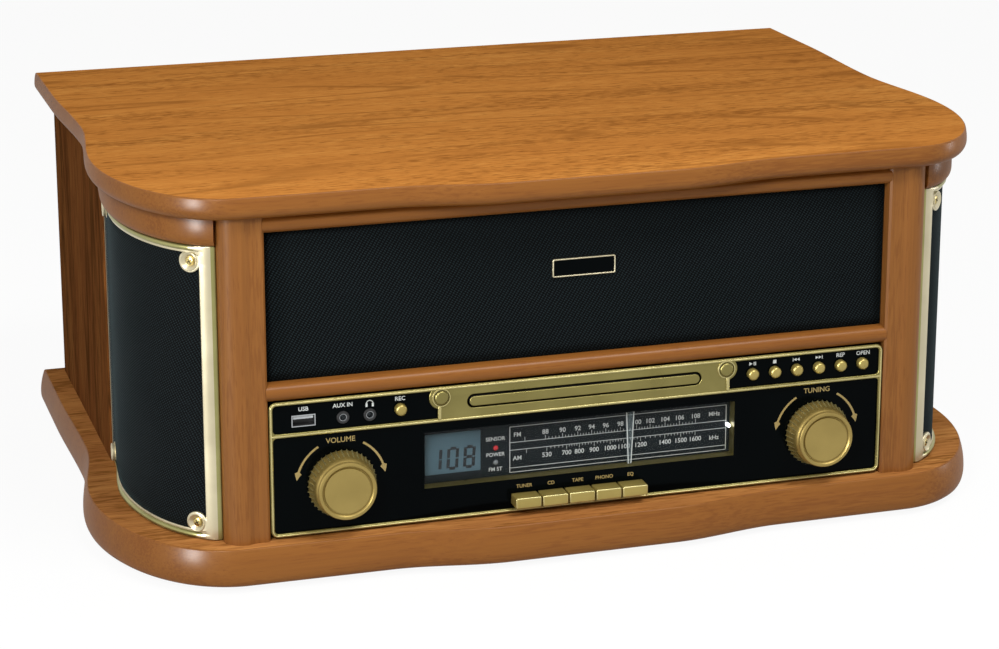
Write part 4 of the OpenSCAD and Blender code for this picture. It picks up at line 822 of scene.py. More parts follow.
@dataclass
class FrontWoodwork:
    """Corner posts and the rails above and below the cloth."""

    inner: float = 180.3
    outer: float = 204.3
    back: float = 16.0
    low: float = 25.0
    high: float = 207.0
    nose_x: float = 193.3
    nose: tuple[float, float] = (11.0, 9.0)
    front_y: float = -4.0
    step: tuple[float, float] = (5.3, 1.3)
    chamfer: float = 1.2
    rails: tuple[tuple[str, float, float], ...] = (("rail_under_cloth", 103.8, 113.5),
                                                   ("rail_over_cloth", 197.5, 207.0))
    rail_y: tuple[float, float] = (-3.0, 14.0)
    rail_half: float = 181.2

    def post_plan(self) -> Array:
        """Plan of the right post: an elliptical nose outside, eased down to a flat, eased inner edge.

        Returns:
            Closed outline as rows of x, y.
        """
        a = np.linspace(0, np.pi / 2, 14)
        wide, deep = self.nose
        nose = np.stack([self.nose_x + wide * np.cos(a), self.front_y + deep * (1 - np.sin(a))], 1)
        b = np.linspace(0, 1, 9)[1:]
        inner = np.stack([self.nose_x - self.step[0] * b, self.front_y + self.step[1] * ease(b)], 1)
        flat_y = self.front_y + self.step[1]
        flat = [[self.inner + self.chamfer, flat_y], [self.inner, flat_y + self.chamfer]]
        return np.concatenate([[[self.outer, self.back]], nose, inner, flat, [[self.inner, self.back]]])

    def make(self) -> None:
        """Extrudes the post's plan upward and a half-round section along each rail."""
        plan = self.post_plan()
        n = len(plan)
        right = (np.column_stack([np.tile(plan, (2, 1)), np.repeat([self.low, self.high], n)]),
                 prism_faces(2, n))
        made = [build("post_right", *right, STAINED_UPRIGHT, crease=30.0),
                build("post_left", *mirrored(right), STAINED_UPRIGHT, crease=30.0)]
        a = np.linspace(-np.pi / 2, np.pi / 2, 25)
        for name, z0, z1 in self.rails:
            r = (z1 - z0) / 2
            nose = np.stack([self.rail_y[0] + r - r * np.cos(a), z0 + r + r * np.sin(a)], 1)
            section = np.concatenate([nose, [[self.rail_y[1], z1], [self.rail_y[1], z0]]])
            m = len(section)
            points = np.column_stack([np.repeat([-self.rail_half, self.rail_half], m),
                                      np.tile(section, (2, 1))])
            made.append(build(name, points, prism_faces(2, m), STAINED_EDGE, crease=30.0))
        for piece in made:
            stands_for(piece, "front_frame")


@dataclass(frozen=True)
class ScrewHead:
    """Pan head of a screw, with two thin dark bars on the dome that paint the shade of its cross recess.
    """

    dome: tuple[tuple[float, float], ...] = ((0, 0), (2.5, 0), (2.5, 0.4), (2.2, 0.9), (1.8, 1.05),
                                             (0, 1.05))
    bar: tuple[float, float] = (1.5, 0.25)
    bar_high: tuple[float, float] = (1.0, 1.09)
    turn: float = math.radians(28)

    def part(self, seat: Array, axis: Array) -> Part:
        """Turned dome and then the bars, turned about the axis.

        Args:
            seat: Middle of the head's underside.
            axis: Unit vector out of the seat, square to Z.
        Returns:
            Points and faces; the last twelve faces are the bars.
        """
        up = np.array([0.0, 0.0, 1.0])
        dome = turned(self.dome, seat, axis, up, 24)
        long, thin = self.bar
        bars, faces = boxes([[-long, long, -thin, thin, *self.bar_high],
                             [-thin, thin, -long, long, *self.bar_high]])
        a = bars[:, 0] * math.cos(self.turn) - bars[:, 1] * math.sin(self.turn)
        b = bars[:, 0] * math.sin(self.turn) + bars[:, 1] * math.cos(self.turn)
        cross = seat + a[:, None] * np.cross(axis, up) + b[:, None] * up + bars[:, 2:] * axis
        return joined([dome, (cross, faces)])


def put_screws(name: str, heads: Sequence[Part], finish: Finish) -> None:
    """Makes one piece of several screw heads, whose dark cross bars are painted shade in the recess, for
    the CAD screws.

    Args:
        name: Name of the piece.
        heads: Parts from ScrewHead.
        finish: Finish of the heads.
    """
    points, faces = joined(heads)
    one = np.zeros(len(heads[0][1]), dtype=int)
    # painted shade: the bars on each head take the black board finish
    one[-12:] = 1
    made = build(name, points, faces, (finish, BOARD_AND_SHADE_BLACK), crease=30.0, which=np.tile(one, len(heads)))
    stands_for(made, "screws")


@dataclass
class BackScrews:
    """Eight screws that hold the back board."""

    xs: tuple[float, ...] = (-219.3, -74.562, 74.562, 219.3)
    zs: tuple[float, ...] = (33.0, 184.0)
    y: float = 327.0

    def make(self) -> None:
        """Places a head at each screw, facing back."""
        back = np.array([0.0, 1.0, 0.0])
        put_screws("back_screws", [ScrewHead().part(np.array([x, self.y, z]), back) for x in self.xs
                                   for z in self.zs], STEEL)


@dataclass
class CornerPod:
    """Curved loudspeaker corner: band above, metal-coloured frame with screw cups, and cloth.

    Profiles and sections are rows of radius or height and distance in front of the face curve.
    """

    half_x: float = 50.7
    half_y: float = 89.4
    centre: tuple[float, float] = (193.3, 95.0)
    start_x: float = 204.35
    end: tuple[float, float] = (239.5, 152.7)
    turn_share: float = 0.62
    low: float = 25.5
    high: float = 190.7
    bar: float = 4.6
    post_bar: float = 8.6
    rear_bar: float = 8.0
    plate_t: float = 1.9
    plate_edge: float = 0.6
    stand_off: float = 0.5
    step: float = 2.5
    lobe_r: float = 6.2
    lobe_in: float = 9.0
    lobe_post: float = 5.4
    lobe_rear: float = 5.0
    hole_r: float = 4.4
    cup: tuple[tuple[float, float], ...] = ((0, 0.3), (4.9, 0.3), (5.2, 1.6), (5.2, 2.4), (4.8, 2.7),
                                            (4.4, 2.5), (2.6, 0.8), (0, 0.8))
    bar_from: float = 12.6
    slope: float = 3.4
    bead: float = 3.2
    bead_share: tuple[float, float] = (0.7, 0.4)
    lip_share: float = 0.5
    bead_cuts: tuple[float, ...] = (0.5, 1.0, 1.6, 2.2, 2.8, 3.2, 3.3)
    fold_from: float = 2.3
    fold_step: float = 3.0
    share_at: tuple[float, ...] = (0.0, 0.023, 0.6, 0.85, 1.0)
    share: tuple[float, ...] = (0.4, 1.0, 1.0, 0.3, 0.2)
    band_z: tuple[float, float] = (191.0, 207.0)
    band_w: tuple[float, float] = (-6.0, 5.2)
    band_ease: tuple[float, float] = (3.4, 5.0)
    seat: float = 0.8
    cloth_lift: float = 0.05
    cloth_in: tuple[float, float] = (3.0, 2.5)
    length: float = field(init=False)
    table: Array = field(init=False)

    def __post_init__(self) -> None:
        """Walks the face curve: an elliptical arc, then an eased straight run to the side panel."""
        s = np.linspace(0, 1, 801)
        t0 = math.acos((self.start_x - self.centre[0]) / self.half_x)
        t = t0 * (1 - s / self.turn_share)
        u = (s - self.turn_share) / (1 - self.turn_share)
        side = self.centre[0] + self.half_x
        arc = np.stack([self.centre[0] + self.half_x * np.cos(t),
                        self.centre[1] - self.half_y * np.sin(t)], 1)
        run = np.stack([side + (self.end[0] - side) * ease(u),
                        self.centre[1] + (self.end[1] - self.centre[1]) * u], 1)
        path = np.where((s < self.turn_share)[:, None], arc, run)
        along = np.concatenate([[0], np.cumsum(np.linalg.norm(np.diff(path, axis=0), axis=1))])
        slope = np.gradient(path, along, axis=0)
        slope /= np.linalg.norm(slope, axis=1)[:, None]
        self.table = np.column_stack([along, path, slope[:, 1], -slope[:, 0]])
        self.length = float(along[-1])

    def place(self, u: Array, z: Array, w: Array) -> Array:
        """Point at arc length u, height z and distance w in front of the face curve."""
        at = [np.interp(u, self.table[:, 0], self.table[:, k]) for k in (1, 2, 3, 4)]
        return np.stack([at[0] + at[2] * w, at[1] + at[3] * w, np.broadcast_to(z, np.shape(u))], -1)

    def shaded_faces(self, points: Array, faces: Sequence[Sequence[int]]) -> Array:
        """1 for each face in the upper or lower bar or on the slope beside the post, else 0; these faces
        take a darker gold as painted shade.

        Args:
            points: All points of the frame.
            faces: Point numbers of each face.
        Returns:
            Finish number of each face.
        """
        mean, low, high = face_spans(points, faces)
        deep = self.bead_cuts[-1]
        bar = (mean[:, 1] > self.bar_from) & ((high[:, 2] < self.low + deep)
                                              | (low[:, 2] > self.high - deep))
        outer = np.maximum(np.abs(low[:, 0]), np.abs(high[:, 0]))
        return (bar | (outer < self.start_x + self.slope)).astype(int)

    def lobes(self) -> list[tuple[float, float]]:
        """Centres of the four screw cups, as arc length and height: at the post, then at the rear."""
        return [(u, z) for u in (self.post_bar + self.lobe_post, self.length - self.rear_bar
                                 - self.lobe_rear)
                for z in (self.low + self.lobe_in, self.high - self.lobe_in)]

    def opening(self) -> Array:
        """Inner outline of the frame: a rectangle whose corners give way to the screw lobes.

        Each lobe is an arc from one side of the rectangle to the next, taken clockwise.

        Returns:
            Closed outline as rows of arc length and height.
        """
        u0, u1 = self.post_bar, self.length - self.rear_bar
        z0, z1 = self.low + self.bar, self.high - self.bar
        r = self.lobe_r
        (low_post, high_post, low_rear, high_rear) = self.lobes()
        loops = []
        for (cu, cz), (eu, ez), from_side in ((high_rear, (u1, z1), True), (high_post, (u0, z1), False),
                                              (low_post, (u0, z0), True), (low_rear, (u1, z0), False)):
            ends = [(eu, cz - math.copysign(math.sqrt(r * r - (eu - cu) ** 2), ez - cz)),
                    (cu - math.copysign(math.sqrt(r * r - (ez - cz) ** 2), eu - cu), ez)]
            a0, a1 = (math.atan2(z - cz, u - cu) for u, z in (ends if from_side else ends[::-1]))
            if a1 > a0:
                a1 -= 2 * math.pi
            loops.append(circle(cu, cz, r, np.linspace(a0, a1, 14)))
        return np.concatenate(loops)

    def frame_part(self) -> Part:
        """Frame plate: a flat outline with rounded edges, wrapped on the face curve.

        Returns:
            Points and faces.
        """
        outer = dense(round_loop((0, self.length, self.low, self.high), 1.0, 3), self.step)
        turn = np.linspace(0, 2 * np.pi, 28, endpoint=False)
        holes = [dense(self.opening(), self.step)]
        holes += [circle(u, z, self.hole_r, turn) for u, z in self.lobes()]
        inset = np.array(self.bead_cuts)
        cuts = [(0, float(u)) for u in np.arange(self.fold_from, self.length, self.fold_step)]
        cuts += [(1, float(z)) for z in (*(self.low + inset), *(self.high - inset))]
        points, faces = plate([outer] + holes, self.plate_t, self.plate_edge, cuts)
        u, z, w = points.T
        return self.place(u, z, (w + self.stand_off) * self.proud(u, z)), faces

    def proud(self, u: Array, z: Array) -> Array:
        """Share of the frame's height at (u, z).

        The post side slopes off over 3.5 mm and the rear end is lower. Along the bars a half-round
        bead rises next to the edge and a low lip follows it.

        Args:
            u: Arc length of each point.
            z: Height of each point.
        Returns:
            Factor on each point's distance from the face curve.
        """
        share = np.interp(u / self.length, self.share_at, self.share)
        edge = np.minimum(z - self.low, self.high - z)
        r = self.bead / 2
        rise, least = self.bead_share
        bead = np.sqrt(np.clip(1 - ((edge - r) / r) ** 2, 0, 1)) * rise + least
        on_bar = (edge < self.bar + 0.1) & (u > self.post_bar) & (u < self.length - self.rear_bar)
        return share * np.where(on_bar, np.where(edge < self.bead + 0.05, bead, self.lip_share), 1.0)

    def fittings(self, u: float, z: float) -> tuple[Part, Part]:
        """Screw cup, with a raised bead and a cone down to its floor, and its screw.

        Args:
            u: Arc length of the cup's centre.
            z: Height of the cup's centre.
        Returns:
            The cup and the screw, as points and faces.
        """
        face, seat, tip = (self.place(np.array(u), np.array(z), np.array(w))
                           for w in (0.0, self.seat, 1.0))
        cup = turned(self.cup, face, tip - face, (0, 0, 1), 28)
        return cup, ScrewHead().part(seat, tip - face)

    def band(self) -> Part:
        """Wooden band over the cloth: an eased section carried along the face curve.

        Returns:
            Points and faces.
        """
        u = np.linspace(0.0, self.length, 64)
        a = np.linspace(0, np.pi / 2, 8)
        (low, high), (back, front), (deep, tall) = self.band_z, self.band_w, self.band_ease
        nose = np.stack([front - deep * (1 - np.sin(a)), low + tall * (1 - np.cos(a))], 1)
        section = np.concatenate([[[back, low]], nose, [[front, high - 1], [front - 0.6, high],
                                                        [back, high]]])
        m = len(section)
        pts = self.place(np.repeat(u, m), np.tile(section[:, 1], len(u)), np.tile(section[:, 0], len(u)))
        return pts, prism_faces(len(u), m)

    def make(self) -> None:
        """Builds both corners; the left one is the right one mirrored."""
        plate_part, band = self.frame_part(), self.band()
        fitted = [self.fittings(u, z) for u, z in self.lobes()]
        du, dz = self.cloth_in
        uv, weave = cloth_grid((du, self.length - du, self.low + dz, self.high - dz), 90, 24)
        cloth_part = (self.place(*uv.T, np.full(len(uv), self.cloth_lift)), weave)
        for side, turn in (("right", lambda part: part), ("left", mirrored)):
            points, faces = joined([turn(plate_part)] + [turn(cup) for cup, _ in fitted])
            # painted shade: the bars and the slope beside the post take the darker gold
            trim = build(f"speaker_frame_{side}", points, faces, (PALE_GOLD, SHADED_GOLD), crease=32.0,
                         which=self.shaded_faces(points, faces))
            stands_for(trim, "speaker_frames")
            put_screws(f"speaker_screws_{side}", [turn(screw) for _, screw in fitted], SCREW_BRASS)
            wood = build(f"corner_band_{side}", *turn(band), STAINED_EDGE, crease=32.0)
            stands_for(wood, "top_rails")
            cloth = build(f"speaker_cloth_{side}", *turn(cloth_part), CLOTH, crease=60.0, uv=uv * MM)
            stretch_cloth(cloth)


def cloth_grid(box: Sequence[float], across: int, up: int) -> Part:
    """Flat grid for a cloth.

    Args:
        box: Its lowest and highest place along, then its lowest and highest height.
        across: Number of points along.
        up: Number of points in height.
    Returns:
        Rows of place along and height, and quads.
    """
    spans = np.meshgrid(np.linspace(*box[:2], across), np.linspace(*box[2:], up), indexing="ij")
    return np.stack(spans, -1).reshape(-1, 2), grid_faces(across, up)


def stretch_cloth(cloth: Piece) -> None:
    """Args:
        cloth: The one-sided cloth.
    """
    solid = cloth.modifiers.new("thickness", "SOLIDIFY")
    solid.thickness = 0.5 * MM
    solid.offset = 1.0


@dataclass
class FrontCloth:
    """Flat cloth over the control panel, with a bare plate on it.

    Each cut is a plate's front, back and edge radius.
    """

    half: float = 179.8
    low: float = 113.8
    high: float = 197.2
    face_y: float = 4.95
    badge: tuple[float, float, float, float] = (-18.3, 18.3, 158.3, 168.7)
    rim: float = 0.8
    rim_cut: tuple[float, float, float] = (2.9, 4.45, 0.4)
    face_cut: tuple[float, float, float] = (3.5, 4.45, 0.15)

    def make(self) -> None:
        """Builds the cloth as a flat grid and the plate as a rim round a dark face."""
        uv, weave = cloth_grid((-self.half, self.half, self.low, self.high), 60, 16)
        cloth = build("front_cloth", np.insert(uv, 1, self.face_y, axis=1), weave, CLOTH, uv=uv * MM)
        stretch_cloth(cloth)
        rim = [round_loop(self.badge, 1.0), round_loop(self.badge, 0.5, inset=self.rim)]
        face = [round_loop(self.badge, 0.6, inset=self.rim - 0.2)]
        stands_for(build("badge_rim", *front_plate(rim, *self.rim_cut), PALE_GOLD), "badge_plate")
        stands_for(build("badge_face", *front_plate(face, *self.face_cut), GLOSS_BLACK), "badge_plate")


@dataclass
class PanelTrim:
    """Gold trim on the black panel: border, divider, drawer plate, bosses, studs and stems.

    Profiles are rows of radius and y, and each cut is a plate's front, back and edge radius.
    """

    border: tuple[float, float, float, float] = (-179.7, 179.7, 26.15, 103.35)
    border_r: float = 4.0
    bay_r: float = 2.2
    bar: float = 2.1
    divider: tuple[float, float] = (83.0, 85.3)
    boss: tuple[float, float] = (83.52, 97.3)
    boss_r: float = 6.8
    stem_half: float = 0.95
    stem_z: tuple[float, float] = (84.8, 92.4)
    slot_z: float = 93.5
    slot_half: tuple[float, float] = (68.6, 3.9)
    flat_cut: tuple[float, float, float] = (-1.5, 0.0, 0.55)
    ridge_cut: tuple[float, float, float] = (-2.1, -1.2, 0.42)
    stem_cut: tuple[float, float, float] = (-2.3, -1.3, 0.45)
    drawer_cut: tuple[float, float, float] = (-2.1, -0.95, 0.5)
    ridge_at: tuple[float, float] = (0.45, 1.55)
    line_in: float = 1.2
    line_half: float = 0.6
    stud: tuple[tuple[float, float], ...] = ((0, -3.3), (2.6, -3.2), (3.6, -2.8), (4.0, -2.2),
                                             (4.0, -1.4), (0, -1.4))
    collar: tuple[tuple[float, float], ...] = ((4.4, -1.4), (4.4, -1.9), (4.6, -2.3), (5.1, -2.3),
                                               (5.4, -1.9), (5.4, -1.4), (4.4, -1.4))
    drawer: tuple[float, float, float, float] = (-67.4, 67.4, 90.75, 96.25)

    def upper_bay(self) -> Array:
        """Outline of the left upper opening, which gives way to the boss at its right end.

        Returns:
            Closed outline as rows of x, z.
        """
        x0, z0, z1 = self.border[0] + self.bar, self.divider[1], self.border[3] - self.bar
        boss_x, boss_z = -self.boss[0], self.boss[1]
        stem = boss_x - 1 - self.stem_half
        round_boss = np.linspace(math.pi - math.asin((z1 - boss_z) / self.boss_r),
                                 math.pi + math.acos((boss_x - stem) / self.boss_r), 16)
        left_end = round_loop((x0, x0 + 20, z0, z1), self.bay_r, 5)[5:15]
        return np.concatenate([circle(boss_x, boss_z, self.boss_r, round_boss), [[stem, z0]],
                               left_end[::-1]])

    def make(self) -> None:
        """Cuts the plate from its outlines, then adds turned studs and rounded stems."""
        x0, x1, z0, z1 = self.border
        bay = self.upper_bay()
        sx, sz = self.slot_half
        loops = [round_loop(self.border, self.border_r, 8), bay, bay * (-1, 1),
                 round_loop((x0 + self.bar, x1 - self.bar, z0 + self.bar, self.divider[0]), self.bay_r),
                 round_loop((-sx, sx, self.slot_z - sz, self.slot_z + sz), sz - 0.05, 10)]
        rings = [round_loop(self.border, self.border_r - w, 8, w) for w in self.ridge_at]
        mid = sum(self.divider) / 2
        line = round_loop((x0 + self.line_in, x1 - self.line_in, mid - self.line_half,
                           mid + self.line_half), 0.5, 3)
        ridges = [front_plate(loop, *self.ridge_cut) for loop in (rings, [line])]
        studs = []
        for side in (-1, 1):
            x = side * self.boss[0]
            stem = side * (self.boss[0] + 1)
            studs.append(lathe_y(self.stud, x, self.boss[1]))
            ridges.append(lathe_y(self.collar, x, self.boss[1]))
            outline = round_loop((stem - self.stem_half, stem + self.stem_half, *self.stem_z), 0.5, 3)
            ridges.append(front_plate([outline], *self.stem_cut))
        flat, high = joined([front_plate(loops, *self.flat_cut)] + studs), joined(ridges)
        # painted highlight: the raised ridges, collars and stems take the lighter gold, the flat plate the
        # plain gold
        trim = build("panel_trim", *joined([flat, high]), (GOLD, HIGHLIGHT_GOLD), crease=35.0,
                     which=np.repeat([0, 1], [len(flat[1]), len(high[1])]))
        stands_for(trim, "fascia_trim")
        bar = build("drawer_bar", *front_plate([round_loop(self.drawer, 2.7, 12)], *self.drawer_cut),
                    GOLD, "tray", 35.0)


@dataclass
class Knob:
    """Rotary knob: toothed skirt, bright ring, sunk face and shaft; profiles are radius and y."""

    name: str
    node: str
    body: str
    x: float
    z: float = 54.0
    teeth: int = 40
    tooth: float = 0.75
    profile: tuple[tuple[float, float], ...] = (
        (3.0, -0.6), (18.0, -0.6), (19.2, -0.9), (19.5, -1.8), (18.6, -4.6), (18.0, -6.8),
        (17.6, -8.5), (17.2, -10.0), (16.9, -11.3), (16.3, -12.2), (15.8, -12.8), (15.7, -13.6),
        (16.2, -14.2), (16.3, -14.9), (15.9, -15.5), (15.2, -15.75), (14.4, -15.6), (13.8, -15.0),
        (13.5, -14.2), (13.1, -14.1), (12.8, -14.8), (8.0, -14.8), (0.0, -14.7))
    shaft: tuple[tuple[float, float], ...] = ((0, 13.0), (2.6, 13.0), (3.0, 12.6), (3.0, -0.6))
    fade_y: tuple[float, ...] = (-9.5, -7.0, -3.0, -0.8)
    fade: tuple[float, ...] = (0.0, 0.5, 1.0, 1.0)
    steps_each: int = 12
    sharp: float = 4.5
    highlight_from: tuple[float, float] = (0.35, 0.4)

    def make(self) -> None:
        """Radius is the profile less tooth * (1 - ridge(a)) * fade(y); narrow ridges fade forward.

        ridge is exp(sharp * (cos(teeth * a) - 1)), and faces where it and the fade are high take the
        lighter gold as a painted highlight.
        """
        profile = np.array(self.profile)
        fade = np.interp(profile[:, 1], self.fade_y, self.fade)
        fade[:2] = [0, 0.2]
        steps = self.teeth * self.steps_each
        a = np.linspace(0, 2 * np.pi, steps, endpoint=False)
        ridge = np.exp(self.sharp * (np.cos(self.teeth * a) - 1))
        radius = profile[:, :1] - self.tooth * (1 - ridge[None]) * fade[:, None]
        # painted highlight: ridge faces on the rear of the skirt take the lighter gold
        lit = (ridge > self.highlight_from[0])[None] & (fade > self.highlight_from[1])[:-1, None]
        x, z = np.moveaxis(circle(self.x, self.z, radius, a), -1, 0)
        pts = np.stack([x, np.broadcast_to(profile[:, 1:], radius.shape), z], -1)
        shaft = lathe_y(self.shaft, self.x, self.z, 40)
        which = np.concatenate([lit.ravel(), np.zeros(len(shaft[1]))])
        knob = build(self.name, *joined([(pts, grid_faces(len(profile), steps, True)), shaft]),
                     (KNOB_GOLD, HIGHLIGHT_GOLD), self.body, 34.0, which)
        stands_for(knob, self.node)


@dataclass
class PressControls:
    """Round buttons and square source keys, each riding on its own body.

    dome is rows of radius and y. The faces that start before rim_y[0] and end before rim_y[1], and
    aren't flat, are a key's rim, which takes a lighter gold as a painted highlight.
    """

    buttons: tuple[str, ...] = ("record", "play", "stop", "previous", "next", "repeat", "eject")
    button_z: float = 92.6
    dome: tuple[tuple[float, float], ...] = (
        (0, -3.75), (1.3, -3.7), (2.3, -3.45), (2.9, -2.9), (3.25, -2.3), (3.3, -1.6), (3.3, 4.5),
        (2, 4.5), (2, 6.5), (0, 6.5))
    record_x: float = -106.39
    row_x: float = 133.76
    pitch: float = 13.5
    key_x: float = -4.0
    key_pitch: float = 15.7
    key_half: float = 7.4
    key_z: tuple[float, float] = (30.2, 36.4)
    key_cut: tuple[float, float, float] = (-9.0, 8.0, 0.6)
    rim_y: tuple[float, float] = (-8.3, -8.1)

    def button_x(self, i: int) -> float:
        """Place of button i; the record button is the first and stands apart."""
        return self.record_x if i == 0 else self.row_x + (i - 3.5) * self.pitch

    def make(self) -> None:
        """Turns each button from a domed profile and rounds each key from a plate whose rim is painted
        with a highlight.
        """
        for i, name in enumerate(self.buttons):
            piece = build(f"{name}_cap", *lathe_y(self.dome, self.button_x(i), self.button_z, 40),
                          KEY_GOLD, f"{name}_button")
            stands_for(piece, f"{name}_button")
        for i in range(5):
            x = self.key_x + (i - 2) * self.key_pitch
            outline = round_loop((x - self.key_half, x + self.key_half, *self.key_z), 0.7, 4)
            points, faces = front_plate([outline], *self.key_cut)
            _, near, far = face_spans(points, faces)
            front, back = near[:, 1], far[:, 1]
            # painted highlight: the key's rim takes the lighter gold
            rim = (front < self.rim_y[0]) & (back < self.rim_y[1]) & (back - front > 0.02)
            piece = build(f"key_cap_{i + 1}", points, faces, (KEY_GOLD, HIGHLIGHT_GOLD), f"key_{i + 1}",
                          which=rim.astype(int))
            stands_for(piece, f"source_key_{i + 1}")


@dataclass
class Sockets:
    """Black rings round the two jacks, the tongue in the USB shell, and a dark floor and back in it that
    are painted shade.

    tongue and shade_sheets are boxes whose x and z are counted from the middle of the shell; shade_sheets
    are the dark floor and back, painted shade.
    """

    jacks: tuple[float, float] = (-138.54, -123.51)
    jack_z: float = 91.2
    ring: tuple[tuple[float, float], ...] = ((2.0, -0.3), (2.1, -0.8), (2.6, -1.0), (3.3, -0.9),
                                             (3.6, -0.5), (3.6, 0.0), (2.0, 0.0), (2.0, -0.3))
    usb: tuple[float, float] = (-160.43, 91.6)
    tongue: tuple[float, ...] = (-5.55, 5.55, 0.9, 12.0, 0.7, 2.75)
    shade_sheets: tuple[tuple[float, ...], ...] = ((-6.0, 6.0, 0.2, 12.0, -2.75, -2.5),
                                             (-6.0, 6.0, 4.0, 4.4, -2.6, 0.6))

    def make(self) -> None:
        """Turns a bead round each jack, and puts the tongue and a dark floor and back of painted shade in
        the USB shell.
        """
        x, z = self.usb
        middle = np.array([x, x, 0, 0, z, z])
        tongue = build("usb_tongue", *boxes(self.tongue + middle), NYLON)
        # painted shade: dark sheets on the floor and back inside the USB shell
        shade_sheets = build("usb_painted_shade", *boxes(self.shade_sheets + middle), BLACK_ABS_AND_SHADE)
        ring = build("jack_rings", *joined([lathe_y(self.ring, x, self.jack_z, 36) for x in self.jacks]),
                     BLACK_ABS_AND_SHADE)


@dataclass
class Dial:
    """Tuning scale, display, lamps and pointer behind the clear window."""

    scale_y: float = 7.0
    fm: tuple[tuple[str, float], ...] = (("88", -20.8), ("90", -10.7), ("92", -1.7), ("94", 6.5),
                                         ("96", 14.9), ("98", 23.6), ("100", 33.3), ("102", 41.4),
                                         ("104", 50.4), ("106", 59.1), ("108", 68.8))
    am: tuple[tuple[str, float], ...] = (("530", -19.9), ("700", -8.2), ("800", -0.7), ("900", 8.1),
                                         ("1000", 17.6), ("1100", 25.7), ("1200", 35.8), ("1400", 50.4),
                                         ("1500", 60.0), ("1600", 68.7))
    number_size: float = 3.8
    number_z: tuple[float, float] = (68.2, 54.6)
    names: tuple[tuple[str, float, float, float], ...] = (
        ("FM", 3.6, -37.2, 68.2), ("AM", 3.6, -37.2, 54.4), ("MHz", 3.6, 80.2, 68.4),
        ("kHz", 3.6, 80.2, 54.2), ("SENSOR", 3.1, -50.0, 67.0), ("POWER", 3.1, -50.0, 57.8),
        ("FM ST", 3.1, -50.0, 49.2))
    lines_z: tuple[float, ...] = (73.1, 63.9, 59.4, 49.0, 46.4)
    line_half: float = 0.16
    ends: tuple[float, float] = (-41.6, 87.4)
    end_half: float = 0.2
    tick: tuple[float, float] = (1.3, 2.5)
    tick_half: float = 0.13
    steps_between: int = 5
    lead_in: float = 12.0
    lcd: tuple[float, float, float, float] = (-90.8, -58.8, 50.0, 73.6)
    lcd_y: float = 6.4
    shown: str = "108"
    digit: tuple[float, float, float] = (6.8, 13.4, 1.8)
    digit_at: tuple[float, float, float] = (2.4, 1.9, 9.6)
    slant: float = 0.06
    mask: tuple[float, float, float, float] = (-92.9, -58.1, 45.1, 77.2)
    lip: tuple[float, float, float, float] = (-94.4, 91.0, 43.6, 78.7)
    lip_wide: float = 1.4
    lamps: tuple[tuple[str, float, Finish], ...] = (("red_lamp", 62.0, RED_LAMP),
                                                    ("grey_lamp", 53.5, GREY_LAMP))
    lamp_x: float = -50.0
    lens: tuple[tuple[float, float], ...] = ((0, 5.3), (0.9, 5.5), (1.4, 6.1), (1.5, 6.6), (1.5, 7.2),
                                             (0, 7.2))
    bulb_at: tuple[float, float] = (88.0, 61.6)
    bulb: tuple[tuple[float, float], ...] = ((0, 2.8), (0.6, 3.0), (1.0, 3.6), (1.0, 6.9), (0, 6.9))
    pointer_x: float = 28.0
    pointer_z: tuple[float, float] = (45.6, 76.8)
    pointer_half: tuple[float, float] = (0.8, 2.2)
    pointer_line: tuple[float, float] = (0.25, 0.3)
    pointer_y: tuple[float, float] = (3.12, 3.2)

    def rulings(self) -> Part:
        """Ruled lines and ticks: thin boxes on the scale plate, long at numbers and short between.

        Returns:
            Points and quads.
        """
        y0, y1 = self.scale_y - INK, self.scale_y + 0.02
        rows = [[*self.ends, y0, y1, z - self.line_half, z + self.line_half] for z in self.lines_z]
        rows += [[x - self.end_half, x + self.end_half, y0, y1, self.lines_z[-1], self.lines_z[0]]
                 for x in self.ends]
        short, long = self.tick
        for marks, z, way in ((self.fm, self.lines_z[1], 1), (self.am, self.lines_z[2], -1)):
            at = np.array([x for _, x in marks])
            last = len(at) - 1
            fine = np.interp(np.linspace(0, last, last * self.steps_between + 1), np.arange(last + 1), at)
            for x, tall in [(v, short) for v in fine] + [(v, long) for v in (*at, at[0] - self.lead_in)]:
                rows.append([x - self.tick_half, x + self.tick_half, y0, y1,
                             *sorted((z, z + way * tall))])
        return boxes(rows)

    def digits(self) -> Part:
        """Seven-segment digits as slanted bars on the display, lettered a to g clockwise from the top.

        Returns:
            Points and quads.
        """
        lit = {"0": "abcdef", "1": "bc", "8": "abcdefg"}
        wide, tall, bar = self.digit
        upper, lower = (tall / 2 + 0.3, tall - bar * 0.6), (bar * 0.6, tall / 2 - 0.3)
        left, right, flat = (0, bar), (wide - bar, wide), (bar, wide - bar)
        segments = {"a": (*flat, tall - bar, tall), "b": (*right, *upper), "c": (*right, *lower),
                    "d": (*flat, 0, bar), "e": (*left, *lower), "f": (*left, *upper),
                    "g": (*flat, (tall - bar) / 2, (tall + bar) / 2)}
        from_left, from_low, pitch = self.digit_at
        rows = []
        for k, char in enumerate(self.shown):
            x, z = self.lcd[0] + from_left + k * pitch, self.lcd[2] + from_low
            rows += [[x + a, x + b, self.lcd_y - 0.05, self.lcd_y + 0.02, z + c, z + d]
                     for a, b, c, d in (segments[s] for s in lit[char])]
        points, faces = boxes(rows)
        points[:, 0] += (points[:, 2] - self.lcd[2]) * self.slant
        return points, faces

